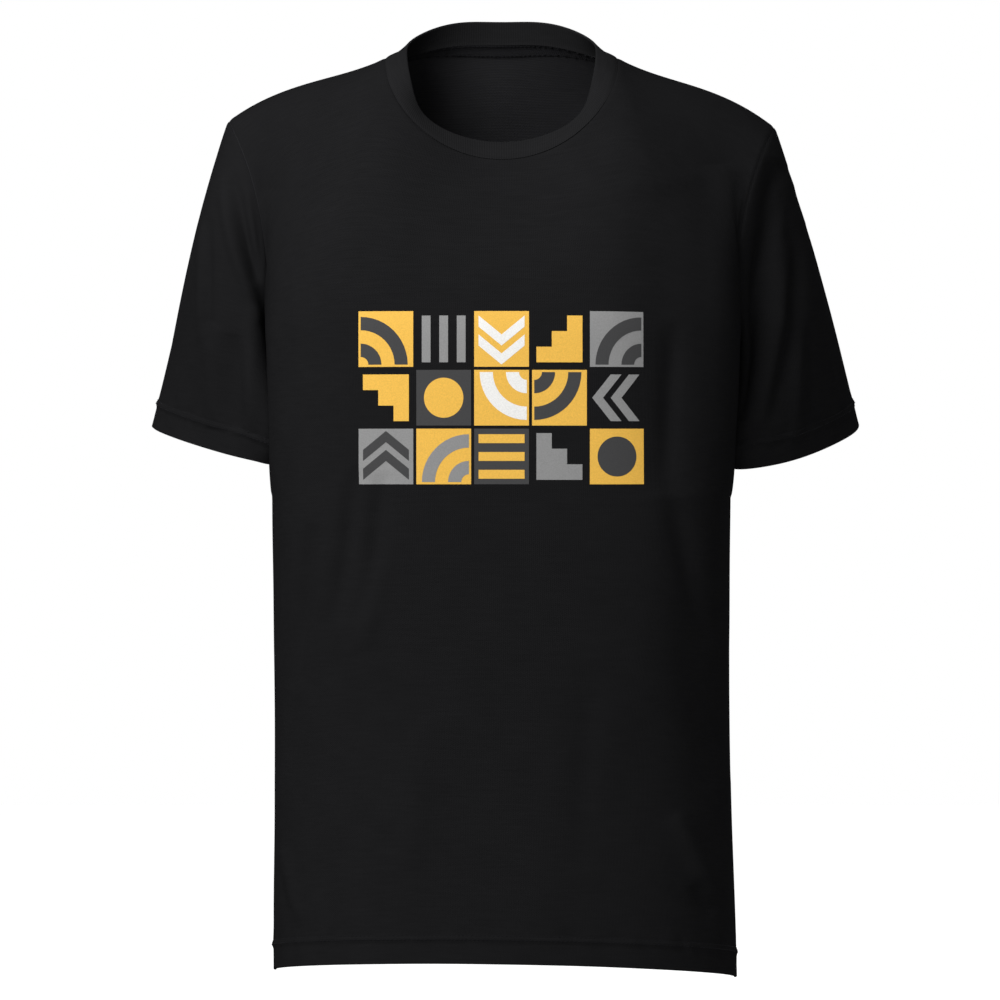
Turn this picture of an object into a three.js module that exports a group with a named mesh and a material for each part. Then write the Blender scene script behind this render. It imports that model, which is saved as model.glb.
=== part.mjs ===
// A short-sleeved crew-neck T-shirt of cotton jersey, standing open in the shape it has on a wearer.
//
// Millimetres, +Z up. The front faces -Y and the wearer's left is +X. The origin is the middle of the
// wearer's neck, level with the two high shoulder points, where the shoulder seams meet the neck.
//
// Every piece of cloth is a sheet: an open surface, given its thickness by thicken(). The body below the
// armpits is a stack of rounded rings. Above them each panel is a yoke drawn from the chest ring up to the
// shoulder seams and on over the neck, and the neckline is cut out of it. A sleeve is drawn from its
// armhole down to its cuff.
import * as THREE from "three";
import { mergeGeometries, mergeVertices } from "three/addons/utils/BufferGeometryUtils.js";

// ---- Cloth ----
const CLOTH = 0.8; // one layer of jersey
const RIB = 2; // the neck rib, folded double
const TAPE = 0.8; // seam tape
const INK = 0.3; // the printed film
const GAP = 0.3; // clearance between layers and edges that are sewn together

// ---- Body ----
const BODY_LENGTH = 732; // high shoulder point down to the hem at the sides
const HEM_ARCH = 21; // how much higher the hem hangs at the centre front and back than at the sides
const HEM_SIDE_DROP = 3; // how much lower the hem hangs at the wearer's left side, and higher at the right
const SIDE_SET = 4; // how far the side seams lie behind the high shoulder points
const SQUARENESS = 0.03; // how much squarer than an ellipse the rings of the body are

// The rings of the body: half the width, and how far the cloth stands in front of the side seams and
// behind them.
const HEM_HALF_WIDTH = 185;
const HEM_FRONT = 121;
const HEM_BACK = 117;
const HIP_HALF_WIDTH = 182;
const HIP_FRONT = 119;
const HIP_BACK = 113;
const WAIST_HALF_WIDTH = 182;
const WAIST_FRONT = 125;
const WAIST_BACK = 115;
const CHEST_HALF_WIDTH = 183;
const CHEST_FRONT = 131;
const CHEST_BACK = 123;
const HEM_SHIFT = 3; // how far the hem has swung towards the wearer's left
const HIP_SHIFT = 1; // the same at the hips

// ---- Shoulders and armholes ----
const SHOULDER_HALF = 218; // centre to the shoulder point, where the sleeve is set on
const SHOULDER_DROP = 53; // high shoulder point down to the shoulder point
const SHOULDER_SIDE_DROP = 2.5; // how much lower the wearer's left shoulder point lies, and higher the right
const SHOULDER_SET = 5; // how far the shoulder point lies behind the high shoulder point
const SLOPE_AT_NECK = 0.5; // fall of the shoulder seam at the neck, per unit of width
const SLOPE_AT_TIP = 0.8; // the same at the shoulder point
const ARMHOLE_HEIGHT = 179; // shoulder point down to the armpit
const ARMHOLE_HALF_DEPTH = 49; // the armhole's reach in front of its middle, and behind it
const ARMHOLE_GRIP = 5; // how closely the armhole bends the panel: a higher power keeps it to the edge

// ---- Neck ----
const NECK_HALF = 91; // centre to the high shoulder point
const FRONT_DROP = 86; // high shoulder point down to the neck seam at the centre front
const BACK_REACH = 36; // high shoulder point back to the neck seam at the centre back
// The panels' surfaces are drawn on over the neck hole, to end above its middle: how far out and up that is,
// and how steeply they rise there, in degrees.
const FRONT_CROWN_REACH = 8;
const FRONT_CROWN_RISE = 0;
const FRONT_CROWN_ANGLE = 66;
const BACK_CROWN_REACH = 19;
const BACK_CROWN_RISE = 24;
const BACK_CROWN_ANGLE = 62;
const RIB_WIDTH = 17; // width of the neck rib
const RIB_FOOT = GAP + RIB / 2; // how far the rib's lower edge stands off the neck seam, so that it can lean
const RIB_LEAN = { front: 50, side: 22, back: 80 }; // angle at which the rib rises above the horizontal

// ---- Sleeves ----
const CUFF_INSET = 1.5; // how far inside the armpit's upright line the inner edge of a cuff hangs
const CUFF_DOWN = 309; // high shoulder point down to the centre of a cuff
const CUFF_SET = 30; // how far the centre of a cuff lies behind the high shoulder points
const CUFF_HALF_WIDTH = 53.5; // half the cuff's opening, from body to arm
const CUFF_SPREAD = 1; // how much wider than that the left cuff stands open, and narrower the right one
const CUFF_HALF_DEPTH = 62; // half the cuff's opening, front to back
const CUFF_TILT = 17.5; // how far the cuff's outer side is tipped up, in degrees
const SLEEVE_LEAN = { top: 20, side: 55, armpit: 4, cuff: 15 }; // angle of the cloth off the vertical

// ---- Trim ----
const HEM_DEPTH = 22; // height of the turned-up hems and cuffs
const TAPE_WIDTH = 10; // width of the tape over the neck and shoulder seams
const TAPE_INSET = 2; // how far a tape stops short of the neck rib and of the armholes
const PRINT_WIDTH = 222; // width of the print, seen from the front
const PRINT_TOP = 207; // high shoulder points down to the top of the print
const PRINT_HEIGHT = 134; // height of the print, seen from the front

// ---- Fineness of the surfaces ----
const COLUMNS = 15; // columns of a panel from its middle or neckline to its side
const BODY_ROWS = 13; // rows of a panel from the turned-up hem to the armpit
const CHEST_ROWS = 8; // rows from the armpit to the lowest point of the neckline
const NECK_ROWS = 11; // rows from there to the shoulder seam
const RIB_COLUMNS = 24; // columns of the neck rib in front, and behind
const ROUND_STEPS = 36; // steps round a sleeve
const SLEEVE_ROWS = 10; // steps along a sleeve

const QUARTER = Math.PI / 2;
const FRONT = -1; // the way the front panel faces, along Y
const BACK = 1;
const LEFT = 1; // the side of the wearer's left arm, along X
const RIGHT = -1;

/** The body's rings in even steps from the hem up to the armpits. */
const RINGS = [
  { halfWidth: HEM_HALF_WIDTH, front: HEM_FRONT, back: HEM_BACK, shift: HEM_SHIFT },
  { halfWidth: HIP_HALF_WIDTH, front: HIP_FRONT, back: HIP_BACK, shift: HIP_SHIFT },
  { halfWidth: WAIST_HALF_WIDTH, front: WAIST_FRONT, back: WAIST_BACK, shift: 0 },
  { halfWidth: CHEST_HALF_WIDTH, front: CHEST_FRONT, back: CHEST_BACK, shift: 0 },
];

const FRONT_CROWN = { reach: FRONT_CROWN_REACH, rise: FRONT_CROWN_RISE, angle: FRONT_CROWN_ANGLE };
const BACK_CROWN = { reach: BACK_CROWN_REACH, rise: BACK_CROWN_RISE, angle: BACK_CROWN_ANGLE };

const ARMPIT_DROP = SHOULDER_DROP + ARMHOLE_HEIGHT;
const NECK_SHARE = NECK_HALF / SHOULDER_HALF; // the part of a panel's top edge that is neckline
const BODY_SHARE = (BODY_LENGTH - ARMPIT_DROP) / BODY_LENGTH; // the part of a panel below the armpits
const HEM_SHARE = HEM_DEPTH / BODY_LENGTH; // the part of a panel that is turned up
const TAPE_ROW = 1 - (TAPE_WIDTH / 2 / ARMPIT_DROP) * (1 - BODY_SHARE); // the row at a shoulder tape's edge
const SIDE_GAP = GAP / 2 / (QUARTER * CHEST_FRONT); // half a gap, as a share of half a panel's width

const mix = (a, b, t) => a + (b - a) * t;
const rad = THREE.MathUtils.degToRad;

/** Evenly spaced numbers from a to b, both included. */
const steps = (a, b, count) => Array.from({ length: count + 1 }, (_, i) => mix(a, b, i / count));

/** The place between low and high where the rising or falling function f reaches the value. */
function solve(f, value, low, high) {
  const rising = f(high) > f(low);
  for (let i = 0; i < 40; i++) {
    const middle = (low + high) / 2;
    if (f(middle) < value === rising) low = middle;
    else high = middle;
  }
  return (low + high) / 2;
}

/** The cubic from a to b that leaves a along the vector out and reaches b along the vector into. */
function sweep(a, b, out, into, t) {
  const t2 = t * t;
  const t3 = t2 * t;
  return new THREE.Vector3()
    .addScaledVector(a, 2 * t3 - 3 * t2 + 1)
    .addScaledVector(b, 3 * t2 - 2 * t3)
    .addScaledVector(out, t3 - 2 * t2 + t)
    .addScaledVector(into, t3 - t2);
}

// ---- Seam lines and surfaces ----
// Along a panel, u runs from -1 at one side to 1 at the other, from the wearer's right to left in front
// and from left to right behind. f and s run from 0 to 1: f up the body, s up the yoke above it.

/** A size of the body's rings, at the share f of the way from the hem to the armpits. */
const ringCurve = (key) => new THREE.SplineCurve(RINGS.map((ring, i) => new THREE.Vector2(i, ring[key])));
const ringSizes = Object.fromEntries(Object.keys(RINGS[0]).map((key) => [key, ringCurve(key)]));
const ringSize = (key, f) => ringSizes[key].getPoint(f).y;

/** A point of the body below the armpits. */
function bodyPoint(u, f, facing) {
  const halfWidth = ringSize("halfWidth", f);
  const a = u * QUARTER;
  const across = (Math.sin(a) + SQUARENESS * Math.sin(3 * a)) / (1 - SQUARENESS);
  const outward = (Math.cos(a) - SQUARENESS * Math.cos(3 * a)) / (1 - SQUARENESS);
  const x = -facing * halfWidth * across;
  const hem = HEM_ARCH * Math.cos(a) - (HEM_SIDE_DROP * x) / halfWidth - BODY_LENGTH;
  const depth = ringSize(facing === FRONT ? "front" : "back", f);
  const z = mix(hem, -ARMPIT_DROP, f);
  return new THREE.Vector3(x + ringSize("shift", f), SIDE_SET + facing * depth * outward, z);
}

/** A point of a shoulder seam. t is 0 at the neck and 1 at the shoulder point. */
function shoulderPoint(t, side) {
  const width = SHOULDER_HALF - NECK_HALF;
  const fall = (slope) => new THREE.Vector3(width, SHOULDER_SET, -slope * width);
  const neck = new THREE.Vector3(NECK_HALF, 0, 0);
  const tip = new THREE.Vector3(SHOULDER_HALF, SHOULDER_SET, -SHOULDER_DROP);
  const p = sweep(neck, tip, fall(SLOPE_AT_NECK), fall(SLOPE_AT_TIP), t);
  return new THREE.Vector3(side * p.x, p.y, p.z - side * SHOULDER_SIDE_DROP * t);
}

/** A point of a panel's top line: the shoulder seams, carried on over the neck hole between them. */
function topPoint(u, facing) {
  const side = -facing * Math.sign(u);
  const share = Math.abs(u) / NECK_SHARE;
  if (share >= 1) return shoulderPoint((Math.abs(u) - NECK_SHARE) / (1 - NECK_SHARE), side);
  const crown = facing === FRONT ? FRONT_CROWN : BACK_CROWN;
  const inward = 1 - share ** 2;
  const rise = (SLOPE_AT_NECK * NECK_HALF * inward) / 2 + crown.rise * inward ** 2;
  return new THREE.Vector3(side * NECK_HALF * share, facing * crown.reach * inward ** 2, rise);
}

/** A point of an armhole. turn is 0 at the shoulder point and half a circle at the armpit. */
function armholePoint(turn, facing, side) {
  const down = (1 - Math.cos(turn)) / 2;
  const top = SHOULDER_DROP + side * SHOULDER_SIDE_DROP;
  const x = CHEST_HALF_WIDTH + (SHOULDER_HALF - CHEST_HALF_WIDTH) * (1 - down) ** 3;
  const y = mix(SHOULDER_SET, SIDE_SET, down) + facing * ARMHOLE_HALF_DEPTH * Math.sin(turn);
  return new THREE.Vector3(side * x, y, -mix(top, ARMPIT_DROP, down));
}

/** How steeply a panel rises where it meets its top line, in degrees: level at the shoulder seams. */
function topLean(u, facing) {
  const inward = Math.max(0, 1 - (u / NECK_SHARE) ** 2);
  return (facing === FRONT ? FRONT_CROWN : BACK_CROWN).angle * inward ** 2;
}

/** A point of a panel above the armpits, before the armhole bends it. */
function plainYokePoint(u, s, facing) {
  const from = bodyPoint(u, 1, facing);
  const to = topPoint(u, facing);
  const reach = from.distanceTo(to);
  const out = from.clone().sub(bodyPoint(u, 0.98, facing)).setLength(reach);
  const lean = rad(topLean(u, facing));
  const into = new THREE.Vector3(0, -facing * Math.cos(lean), Math.sin(lean)).setLength(reach * 0.8);
  return sweep(from, to, out, into, s);
}

/** A point of a panel above the armpits. */
function yokePoint(u, s, facing) {
  const end = Math.sign(u) || 1;
  const bend = armholePoint(Math.PI * (1 - s), facing, -facing * end).sub(plainYokePoint(end, s, facing));
  return plainYokePoint(u, s, facing).addScaledVector(bend, Math.abs(u) ** ARMHOLE_GRIP);
}

/** A point of the front or back panel, neck hole included. v runs from 0 at the hem to 1 at the top line. */
function panelPoint(u, v, facing) {
  if (v <= BODY_SHARE) return bodyPoint(u, v / BODY_SHARE, facing);
  return yokePoint(u, (v - BODY_SHARE) / (1 - BODY_SHARE), facing);
}

/**
 * How far a panel's point lies outside the neckline. That is half an ellipse: seen from the front on the
 * front panel, and seen from above on the back one.
 */
function outsideNeck(u, v, facing) {
  const p = panelPoint(u, v, facing);
  const down = facing === FRONT ? Math.min(0, p.z) / FRONT_DROP : p.y / BACK_REACH;
  return (p.x / NECK_HALF) ** 2 + down ** 2 - 1;
}

/** The row of a panel that touches the lowest point of its neckline. */
const neckRow = (facing) => solve((v) => outsideNeck(0, v, facing), 0, BODY_SHARE, 1);

/** The place along a row where the panel's cloth begins: at its middle, or at the neckline higher up. */
function rowStart(v, facing) {
  if (v <= neckRows[facing]) return 0;
  return v < 1 ? solve((u) => outsideNeck(u, v, facing), 0, 0, NECK_SHARE) : NECK_SHARE;
}

/** A point of one half of a panel. i runs from 0 at the middle or the neckline to 1 at the side. */
function halfPoint(i, v, facing, half) {
  return panelPoint(half * mix(rowStart(v, facing), 1, i), v, facing);
}

/** A point of a cuff's edge. turn is 0 on the outside of the arm and a quarter circle at the front. */
function cuffPoint(turn, side, swing) {
  const tilt = rad(CUFF_TILT);
  const outwards = new THREE.Vector3(side * Math.cos(tilt), 0, Math.sin(tilt));
  const forwards = new THREE.Vector3(0, -Math.cos(rad(swing)), -Math.sin(rad(swing)));
  const spread = side * CUFF_SPREAD;
  const out = CHEST_HALF_WIDTH - CUFF_INSET + CUFF_HALF_WIDTH + spread;
  return new THREE.Vector3(side * out, CUFF_SET, -CUFF_DOWN)
    .addScaledVector(outwards, (CUFF_HALF_WIDTH + spread) * Math.cos(turn))
    .addScaledVector(forwards, CUFF_HALF_DEPTH * Math.sin(turn));
}

const neckRows = { [FRONT]: neckRow(FRONT), [BACK]: neckRow(BACK) };

/** A point of a sleeve. w runs from 0 at the armhole, just outside the panels' edge, to 1 at the cuff. */
function sleevePoint(turn, w, { side, swing }) {
  const facing = turn <= Math.PI ? FRONT : BACK;
  const folded = turn <= Math.PI ? turn : 2 * Math.PI - turn;
  const from = armholePoint(folded, facing, side);
  from.x += side * (CLOTH + GAP);
  const to = cuffPoint(turn, side, swing);
  const reach = from.distanceTo(to);
  const ends = mix(SLEEVE_LEAN.top, SLEEVE_LEAN.armpit, (1 - Math.cos(turn)) / 2);
  const off = rad(mix(ends, SLEEVE_LEAN.side, Math.sin(turn) ** 2));
  const along = rad(SLEEVE_LEAN.cuff);
  const out = new THREE.Vector3(side * Math.sin(off), 0, -Math.cos(off)).setLength(reach);
  const flare = side * Math.sin(along) * Math.max(0, Math.cos(turn));
  const into = new THREE.Vector3(flare, Math.sin(rad(swing)), -Math.cos(along)).setLength(reach);
  return sweep(from, to, out, into, w);
}

/** Rows of a panel above the lowest point of its neckline, closer together where the seam runs level. */
const neckRowsAbove = (facing) => steps(0, 1, NECK_ROWS).map((t) => mix(neckRows[facing], 1, t ** 2));

/** The neck seam of one panel, from the wearer's left to right in front and from right to left behind. */
function neckSeamPoints(facing) {
  const rising = neckRowsAbove(facing);
  const points = (half, rows) => rows.map((v) => halfPoint(0, v, facing, half));
  return [...points(1, [...rising].reverse()), ...points(-1, rising.slice(1, -1))];
}

/** The neck seam, round the front and back by the wearer's left high shoulder point. */
const neckSeam = new THREE.CatmullRomCurve3([...neckSeamPoints(FRONT), ...neckSeamPoints(BACK)], true);

/** A point of the neck rib. q runs from 0 to 1 round the neck seam, and t up the rib. */
function ribPoint(q, t) {
  const point = neckSeam.getPointAt(q);
  const tangent = neckSeam.getTangentAt(q);
  const round = Math.min(1, point.y < 0 ? -point.z / FRONT_DROP : point.y / BACK_REACH); // 1 at the middles
  const lean = rad(mix(RIB_LEAN.side, point.y < 0 ? RIB_LEAN.front : RIB_LEAN.back, round ** 1.5));
  const inwards = new THREE.Vector3(tangent.y, -tangent.x, 0).normalize();
  const along = inwards.multiplyScalar(Math.cos(lean)).setZ(Math.sin(lean));
  return point.addScaledVector(along, mix(RIB_FOOT, RIB_WIDTH, t));
}

// ---- Sheets ----

const columns = steps(0, 1, COLUMNS);

/** Rows of a panel from the hem up, with rows along the edges of the turned-up hem and the shoulder tape. */
function rowsOf(facing) {
  return [
    0,
    ...steps(HEM_SHARE, BODY_SHARE, BODY_ROWS),
    ...steps(BODY_SHARE, neckRows[facing], CHEST_ROWS).slice(1, -1),
    ...neckRowsAbove(facing).filter((v) => v < TAPE_ROW),
    TAPE_ROW,
    1,
  ];
}
const panelRows = { [FRONT]: rowsOf(FRONT), [BACK]: rowsOf(BACK) };

/** The neighbours in a rising run of numbers between which the value lies. */
function neighbours(run, value) {
  const next = Math.max(1, run.findIndex((x) => x >= value));
  return [run[next - 1], run[next]];
}

/** The numbers of a run that lie between two others, with those two at the ends. */
const between = (run, low, high) => [low, ...run.filter((x) => x > low && x < high), high];

/** A point on the flat facets of half a panel, for a layer that lies against it. */
function facetPoint(i, v, facing, half) {
  const [i0, i1] = neighbours(columns, i);
  const [v0, v1] = neighbours(panelRows[facing], v);
  const onRow = (row) =>
    halfPoint(i0, row, facing, half).lerp(halfPoint(i1, row, facing, half), (i - i0) / (i1 - i0));
  return onRow(v0).lerp(onRow(v1), (v - v0) / (v1 - v0));
}

/** A point of the tape below the back neck seam. q runs from -1 to 1 along the seam, and t down from it. */
function neckTapePoint(q, t) {
  const seamRow = mix(neckRows[BACK], 1, q ** 2);
  const turn = Math.abs(q) * QUARTER;
  const down = mix(TAPE_INSET, TAPE_INSET + TAPE_WIDTH, t);
  const u = rowStart(seamRow, BACK) + (down * Math.sin(turn)) / SHOULDER_HALF;
  const v = seamRow - (down * Math.cos(turn)) / BODY_LENGTH;
  const start = rowStart(v, BACK);
  return facetPoint((u - start) / (1 - start), v, BACK, Math.sign(q) || 1);
}

/** An open surface over a grid of points. Each four-sided cell is split along its shorter diagonal. */
function grid(point, us, vs) {
  const points = vs.flatMap((v) => us.map((u) => point(u, v)));
  const length = (a, b) => points[a].distanceTo(points[b]);
  const faces = [];
  for (let j = 1; j < vs.length; j++)
    for (let i = 1; i < us.length; i++) {
      const [a, b] = [i - 1 + (j - 1) * us.length, i + (j - 1) * us.length];
      const [c, d] = [b + us.length, a + us.length];
      faces.push(...(length(a, c) < length(b, d) ? [a, b, c, a, c, d] : [a, b, d, b, c, d]));
    }
  return new THREE.BufferGeometry().setFromPoints(points).setIndex(faces);
}

/** Both halves of a stretch of a panel. */
function bothHalves(point, facing, is, vs) {
  return mergeGeometries([
    grid((i, v) => point(i, v, facing, -1), [...is].reverse(), vs),
    grid((i, v) => point(i, v, facing, 1), is, vs),
  ]);
}

/** Makes an open surface into a closed sheet. lift is how far the sheet's middle lies outside the surface. */
function thicken(surface, { thickness = CLOTH, lift = 0 } = {}) {
  const skin = mergeVertices(surface);
  skin.computeVertexNormals();
  const { position, normal } = skin.attributes;
  const faces = Array.from(skin.index.array);
  const count = position.count;

  const point = new THREE.Vector3();
  const out = new THREE.Vector3();
  const layer = (offset) =>
    Array.from({ length: count }, (_, k) => {
      out.fromBufferAttribute(normal, k);
      return point.fromBufferAttribute(position, k).clone().addScaledVector(out, offset);
    });

  // The edges that no neighbouring face shares run along the rim.
  const rim = new Map();
  for (let k = 0; k < faces.length; k += 3)
    for (const [a, b] of [[0, 1], [1, 2], [2, 0]]) {
      const [from, to] = [faces[k + a], faces[k + b]];
      if (!rim.delete(`${to} ${from}`)) rim.set(`${from} ${to}`, [from, to]);
    }

  const inner = faces.map((_, k) => faces[k + [0, 1, -1][k % 3]] + count); // the same faces, turned over
  const edges = [...rim.values()].flatMap(([a, b]) => [b, a, a + count, b, a + count, b + count]);
  return new THREE.BufferGeometry()
    .setFromPoints([...layer(lift + thickness / 2), ...layer(lift - thickness / 2)])
    .setIndex([...faces, ...inner, ...edges]);
}

/** Stops a run of numbers short of 1, for the gap at a seam. */
const shortOf = (gap, run) => run.map((x) => Math.min(x, 1 - gap));

// ---- Materials ----
const jersey = new THREE.MeshStandardMaterial({ color: 0x1c1c1d, roughness: 0.95, metalness: 0 });
const ribKnit = new THREE.MeshStandardMaterial({ color: 0x1e1e1f, roughness: 0.95, metalness: 0 });
const twillTape = new THREE.MeshStandardMaterial({ color: 0x191919, roughness: 0.9, metalness: 0 });
const ink = new THREE.MeshStandardMaterial({ color: 0xe9b44c, roughness: 0.7, metalness: 0 });

const shirt = new THREE.Group();

/** Adds a named piece. */
function add(name, geometry, material) {
  const mesh = new THREE.Mesh(geometry, material);
  mesh.name = name;
  shirt.add(mesh);
}

// ---- Body ----
// From the middle of a layer of jersey to the middle of the layer inside it: more jersey, or tape.
const secondLayer = -(CLOTH + GAP);
const tapeLayer = -(CLOTH / 2 + GAP + TAPE / 2);

for (const { name, facing } of [
  { name: "front", facing: FRONT },
  { name: "back", facing: BACK },
]) {
  const is = shortOf(SIDE_GAP, columns);
  const rows = shortOf(GAP / 2 / BODY_LENGTH, panelRows[facing]);
  const panel = bothHalves(halfPoint, facing, is, rows);
  const hem = bothHalves(halfPoint, facing, is, [0, HEM_SHARE]);
  add(name + "_panel", thicken(panel), jersey);
  add(name + "_hem", thicken(hem, { lift: secondLayer }), jersey);
}

// ---- Sleeves ----
for (const sleeve of [
  { name: "left", side: LEFT, swing: 10 }, // swing: how far the arm is drawn back, in degrees
  { name: "right", side: RIGHT, swing: 3 },
]) {
  const turns = steps(2 * Math.PI, 0, ROUND_STEPS);
  if (sleeve.side === RIGHT) turns.reverse();
  const point = (turn, w) => sleevePoint(turn, 1 - w, sleeve);
  const cuff = HEM_DEPTH / (CUFF_DOWN - SHOULDER_DROP);
  add(sleeve.name + "_sleeve", thicken(grid(point, turns, [0, ...steps(cuff, 1, SLEEVE_ROWS)])), jersey);
  add(sleeve.name + "_cuff", thicken(grid(point, turns, [0, cuff]), { lift: secondLayer }), jersey);
}

// ---- Neck and shoulders ----
const rib = grid(ribPoint, steps(1, 0, 2 * RIB_COLUMNS), steps(0, 1, 3));
add("neck_rib", thicken(rib, { thickness: RIB }), ribKnit);

// Along the neck the tape stops short of the shoulder tapes.
const tapeStop = TAPE_ROW - TAPE_INSET / BODY_LENGTH;
const tapeEnd = Math.sqrt((tapeStop - neckRows[BACK]) / (1 - neckRows[BACK]));
const neckTape = grid(neckTapePoint, between(steps(-1, 1, 2 * NECK_ROWS), -tapeEnd, tapeEnd), [1, 0.5, 0]);
const bridging = GAP; // the tape runs straight over the panel's facets, so it stands a second gap off them
add("back_neck_tape", thicken(neckTape, { thickness: TAPE, lift: tapeLayer - bridging }), twillTape);

for (const { name, side } of [
  { name: "left", side: LEFT },
  { name: "right", side: RIGHT },
]) {
  // Across the shoulder seam: t is -1 at the tape's front edge, 0 on the seam and 1 at its back edge.
  const across = (i, t) => {
    const facing = t * side < 0 ? FRONT : BACK;
    return facetPoint(i, mix(1, TAPE_ROW, Math.abs(t)), facing, -facing * side);
  };
  const stop = (2 * TAPE_INSET) / (SHOULDER_HALF - NECK_HALF);
  const tape = grid(across, between(columns, stop, 1 - stop), [-1, 0, 1]);
  add(name + "_shoulder_tape", thicken(tape, { thickness: TAPE, lift: tapeLayer }), twillTape);
}

// ---- Print ----
const middleHeight = (v) => panelPoint(0, v, FRONT).z;
const printRows = between(
  panelRows[FRONT],
  solve(middleHeight, -PRINT_TOP - PRINT_HEIGHT, 0, 1),
  solve(middleHeight, -PRINT_TOP, 0, 1),
);
const printColumns = between(columns, 0, solve((u) => bodyPoint(u, 1, FRONT).x, PRINT_WIDTH / 2, 0, 1));
add(
  "chest_print",
  thicken(bothHalves(facetPoint, FRONT, printColumns, printRows), {
    thickness: INK,
    lift: CLOTH / 2 + GAP + INK / 2,
  }),
  ink,
);

export default shirt;
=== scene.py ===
"""A short-sleeved crew-neck T-shirt of black cotton jersey, standing open in the shape it has on a wearer.

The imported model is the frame: metres, +Z up, the front facing -Y and the wearer's left at +X. The cut of
the shirt is written in millimetres, as a pattern cutter gives it, and is turned into metres when a mesh is
made. Each piece of cloth is a surface of two parameters, given its folds along its own normals and its
thickness by a Solidify modifier.
"""

import logging
import math
from dataclasses import dataclass, replace
from enum import Enum
from typing import Callable

import bpy
import numpy as np
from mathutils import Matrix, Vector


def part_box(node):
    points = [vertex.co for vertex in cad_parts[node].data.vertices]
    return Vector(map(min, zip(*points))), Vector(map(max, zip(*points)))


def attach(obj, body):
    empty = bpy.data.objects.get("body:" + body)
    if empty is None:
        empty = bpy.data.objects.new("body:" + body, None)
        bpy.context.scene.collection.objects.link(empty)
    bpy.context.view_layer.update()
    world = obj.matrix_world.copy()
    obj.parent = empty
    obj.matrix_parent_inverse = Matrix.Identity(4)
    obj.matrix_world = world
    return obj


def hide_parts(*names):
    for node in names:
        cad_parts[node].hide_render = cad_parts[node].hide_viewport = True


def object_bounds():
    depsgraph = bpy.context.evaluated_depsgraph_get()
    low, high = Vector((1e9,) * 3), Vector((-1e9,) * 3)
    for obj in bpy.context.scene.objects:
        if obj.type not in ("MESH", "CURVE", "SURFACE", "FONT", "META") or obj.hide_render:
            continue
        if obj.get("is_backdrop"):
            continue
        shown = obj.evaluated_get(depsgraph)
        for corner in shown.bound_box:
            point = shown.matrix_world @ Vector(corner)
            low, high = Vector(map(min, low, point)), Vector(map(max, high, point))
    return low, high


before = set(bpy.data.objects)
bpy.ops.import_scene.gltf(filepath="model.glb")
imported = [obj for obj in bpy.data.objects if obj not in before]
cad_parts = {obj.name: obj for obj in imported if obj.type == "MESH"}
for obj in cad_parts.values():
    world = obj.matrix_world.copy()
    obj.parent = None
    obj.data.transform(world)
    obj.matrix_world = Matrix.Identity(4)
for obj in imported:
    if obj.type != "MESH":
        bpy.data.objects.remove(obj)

logging.basicConfig(level=logging.INFO, format="%(message)s")
log = logging.getLogger("shirt")

Array = np.ndarray
Piece = bpy.types.Object
Socket = bpy.types.NodeSocket
Tree = bpy.types.NodeTree

MM = 0.001  # metres in a millimetre
QUARTER = math.pi / 2
CIRCLE = 2 * math.pi
HALVINGS = 36  # of the stretch in which a place is sought
CROWD = (0.6, 1.2, 2.0, 3.0, 4.2, 5.8, 7.8)  # distances from a seam to the mesh's close lines, in millimetres
CROWDED = 10.0  # how far from a seam the even lines begin
TURNED_IN = -0.9  # where the cloth lies deeper than this, it is a hem's inner layer
ROOT = "root"  # the one body of a part with no joints


class Facing(Enum):
    """The way a panel faces, along Y."""

    FRONT = -1
    BACK = 1


class Side(Enum):
    """The side of the wearer's left or right arm, along X."""

    LEFT = 1
    RIGHT = -1


# ---- Arithmetic on whole arrays ----


def mix(a: Array, b: Array, t: Array) -> Array:
    """The value that lies the share t of the way from a to b."""
    return a + (b - a) * t


def vectors(x: Array, y: Array, z: Array) -> Array:
    """Stacks three arrays, or numbers, into an array of vectors."""
    return np.stack(np.broadcast_arrays(x, y, z), axis=-1).astype(float)


def unit(v: Array) -> Array:
    """The vectors v at length 1."""
    return v / np.maximum(np.linalg.norm(v, axis=-1, keepdims=True), 1e-12)


def bell(x: Array, width: float) -> Array:
    """A bell curve: 1 at x = 0, falling to 1/e at x = width."""
    return np.exp(-((x / width) ** 2))


def smooth(x: Array, low: float, high: float) -> Array:
    """Rises smoothly from 0 at x = low to 1 at x = high, as 3t^2 - 2t^3."""
    t = np.clip((x - low) / (high - low), 0, 1)
    return t * t * (3 - 2 * t)


def sweep(a: Array, b: Array, out: Array, into: Array, t: Array) -> Array:
    """The cubic from a to b that leaves a along the vector out and reaches b along the vector into.

    Args:
        a: The start.
        b: The end.
        out: The way out of the start.
        into: The way into the end.
        t: Places from 0 to 1.

    Returns:
        The points.
    """
    t = np.asarray(t, float)[..., None]
    return (
        a * (2 * t**3 - 3 * t**2 + 1)
        + b * (3 * t**2 - 2 * t**3)
        + out * (t**3 - 2 * t**2 + t)
        + into * (t**3 - t**2)
    )


def through(values: tuple[float, ...], t: Array) -> Array:
    """A smooth run through evenly spaced values, as a Catmull-Rom spline.

    Args:
        values: The values that the run passes through.
        t: Places along the run, from 0 to 1.

    Returns:
        The run's value at each place.
    """
    run = np.asarray(values, float)
    last = len(run) - 1
    place = np.clip(t, 0, 1) * last
    k = np.clip(place.astype(int), 0, last - 1)
    w = place - k
    before, a, b, after = run[np.maximum(k - 1, 0)], run[k], run[k + 1], run[np.minimum(k + 2, last)]
    from_a, to_b = (b - before) / 2, (after - a) / 2
    return (
        a + from_a * w + (3 * (b - a) - 2 * from_a - to_b) * w**2 + (2 * (a - b) + from_a + to_b) * w**3
    )


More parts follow.
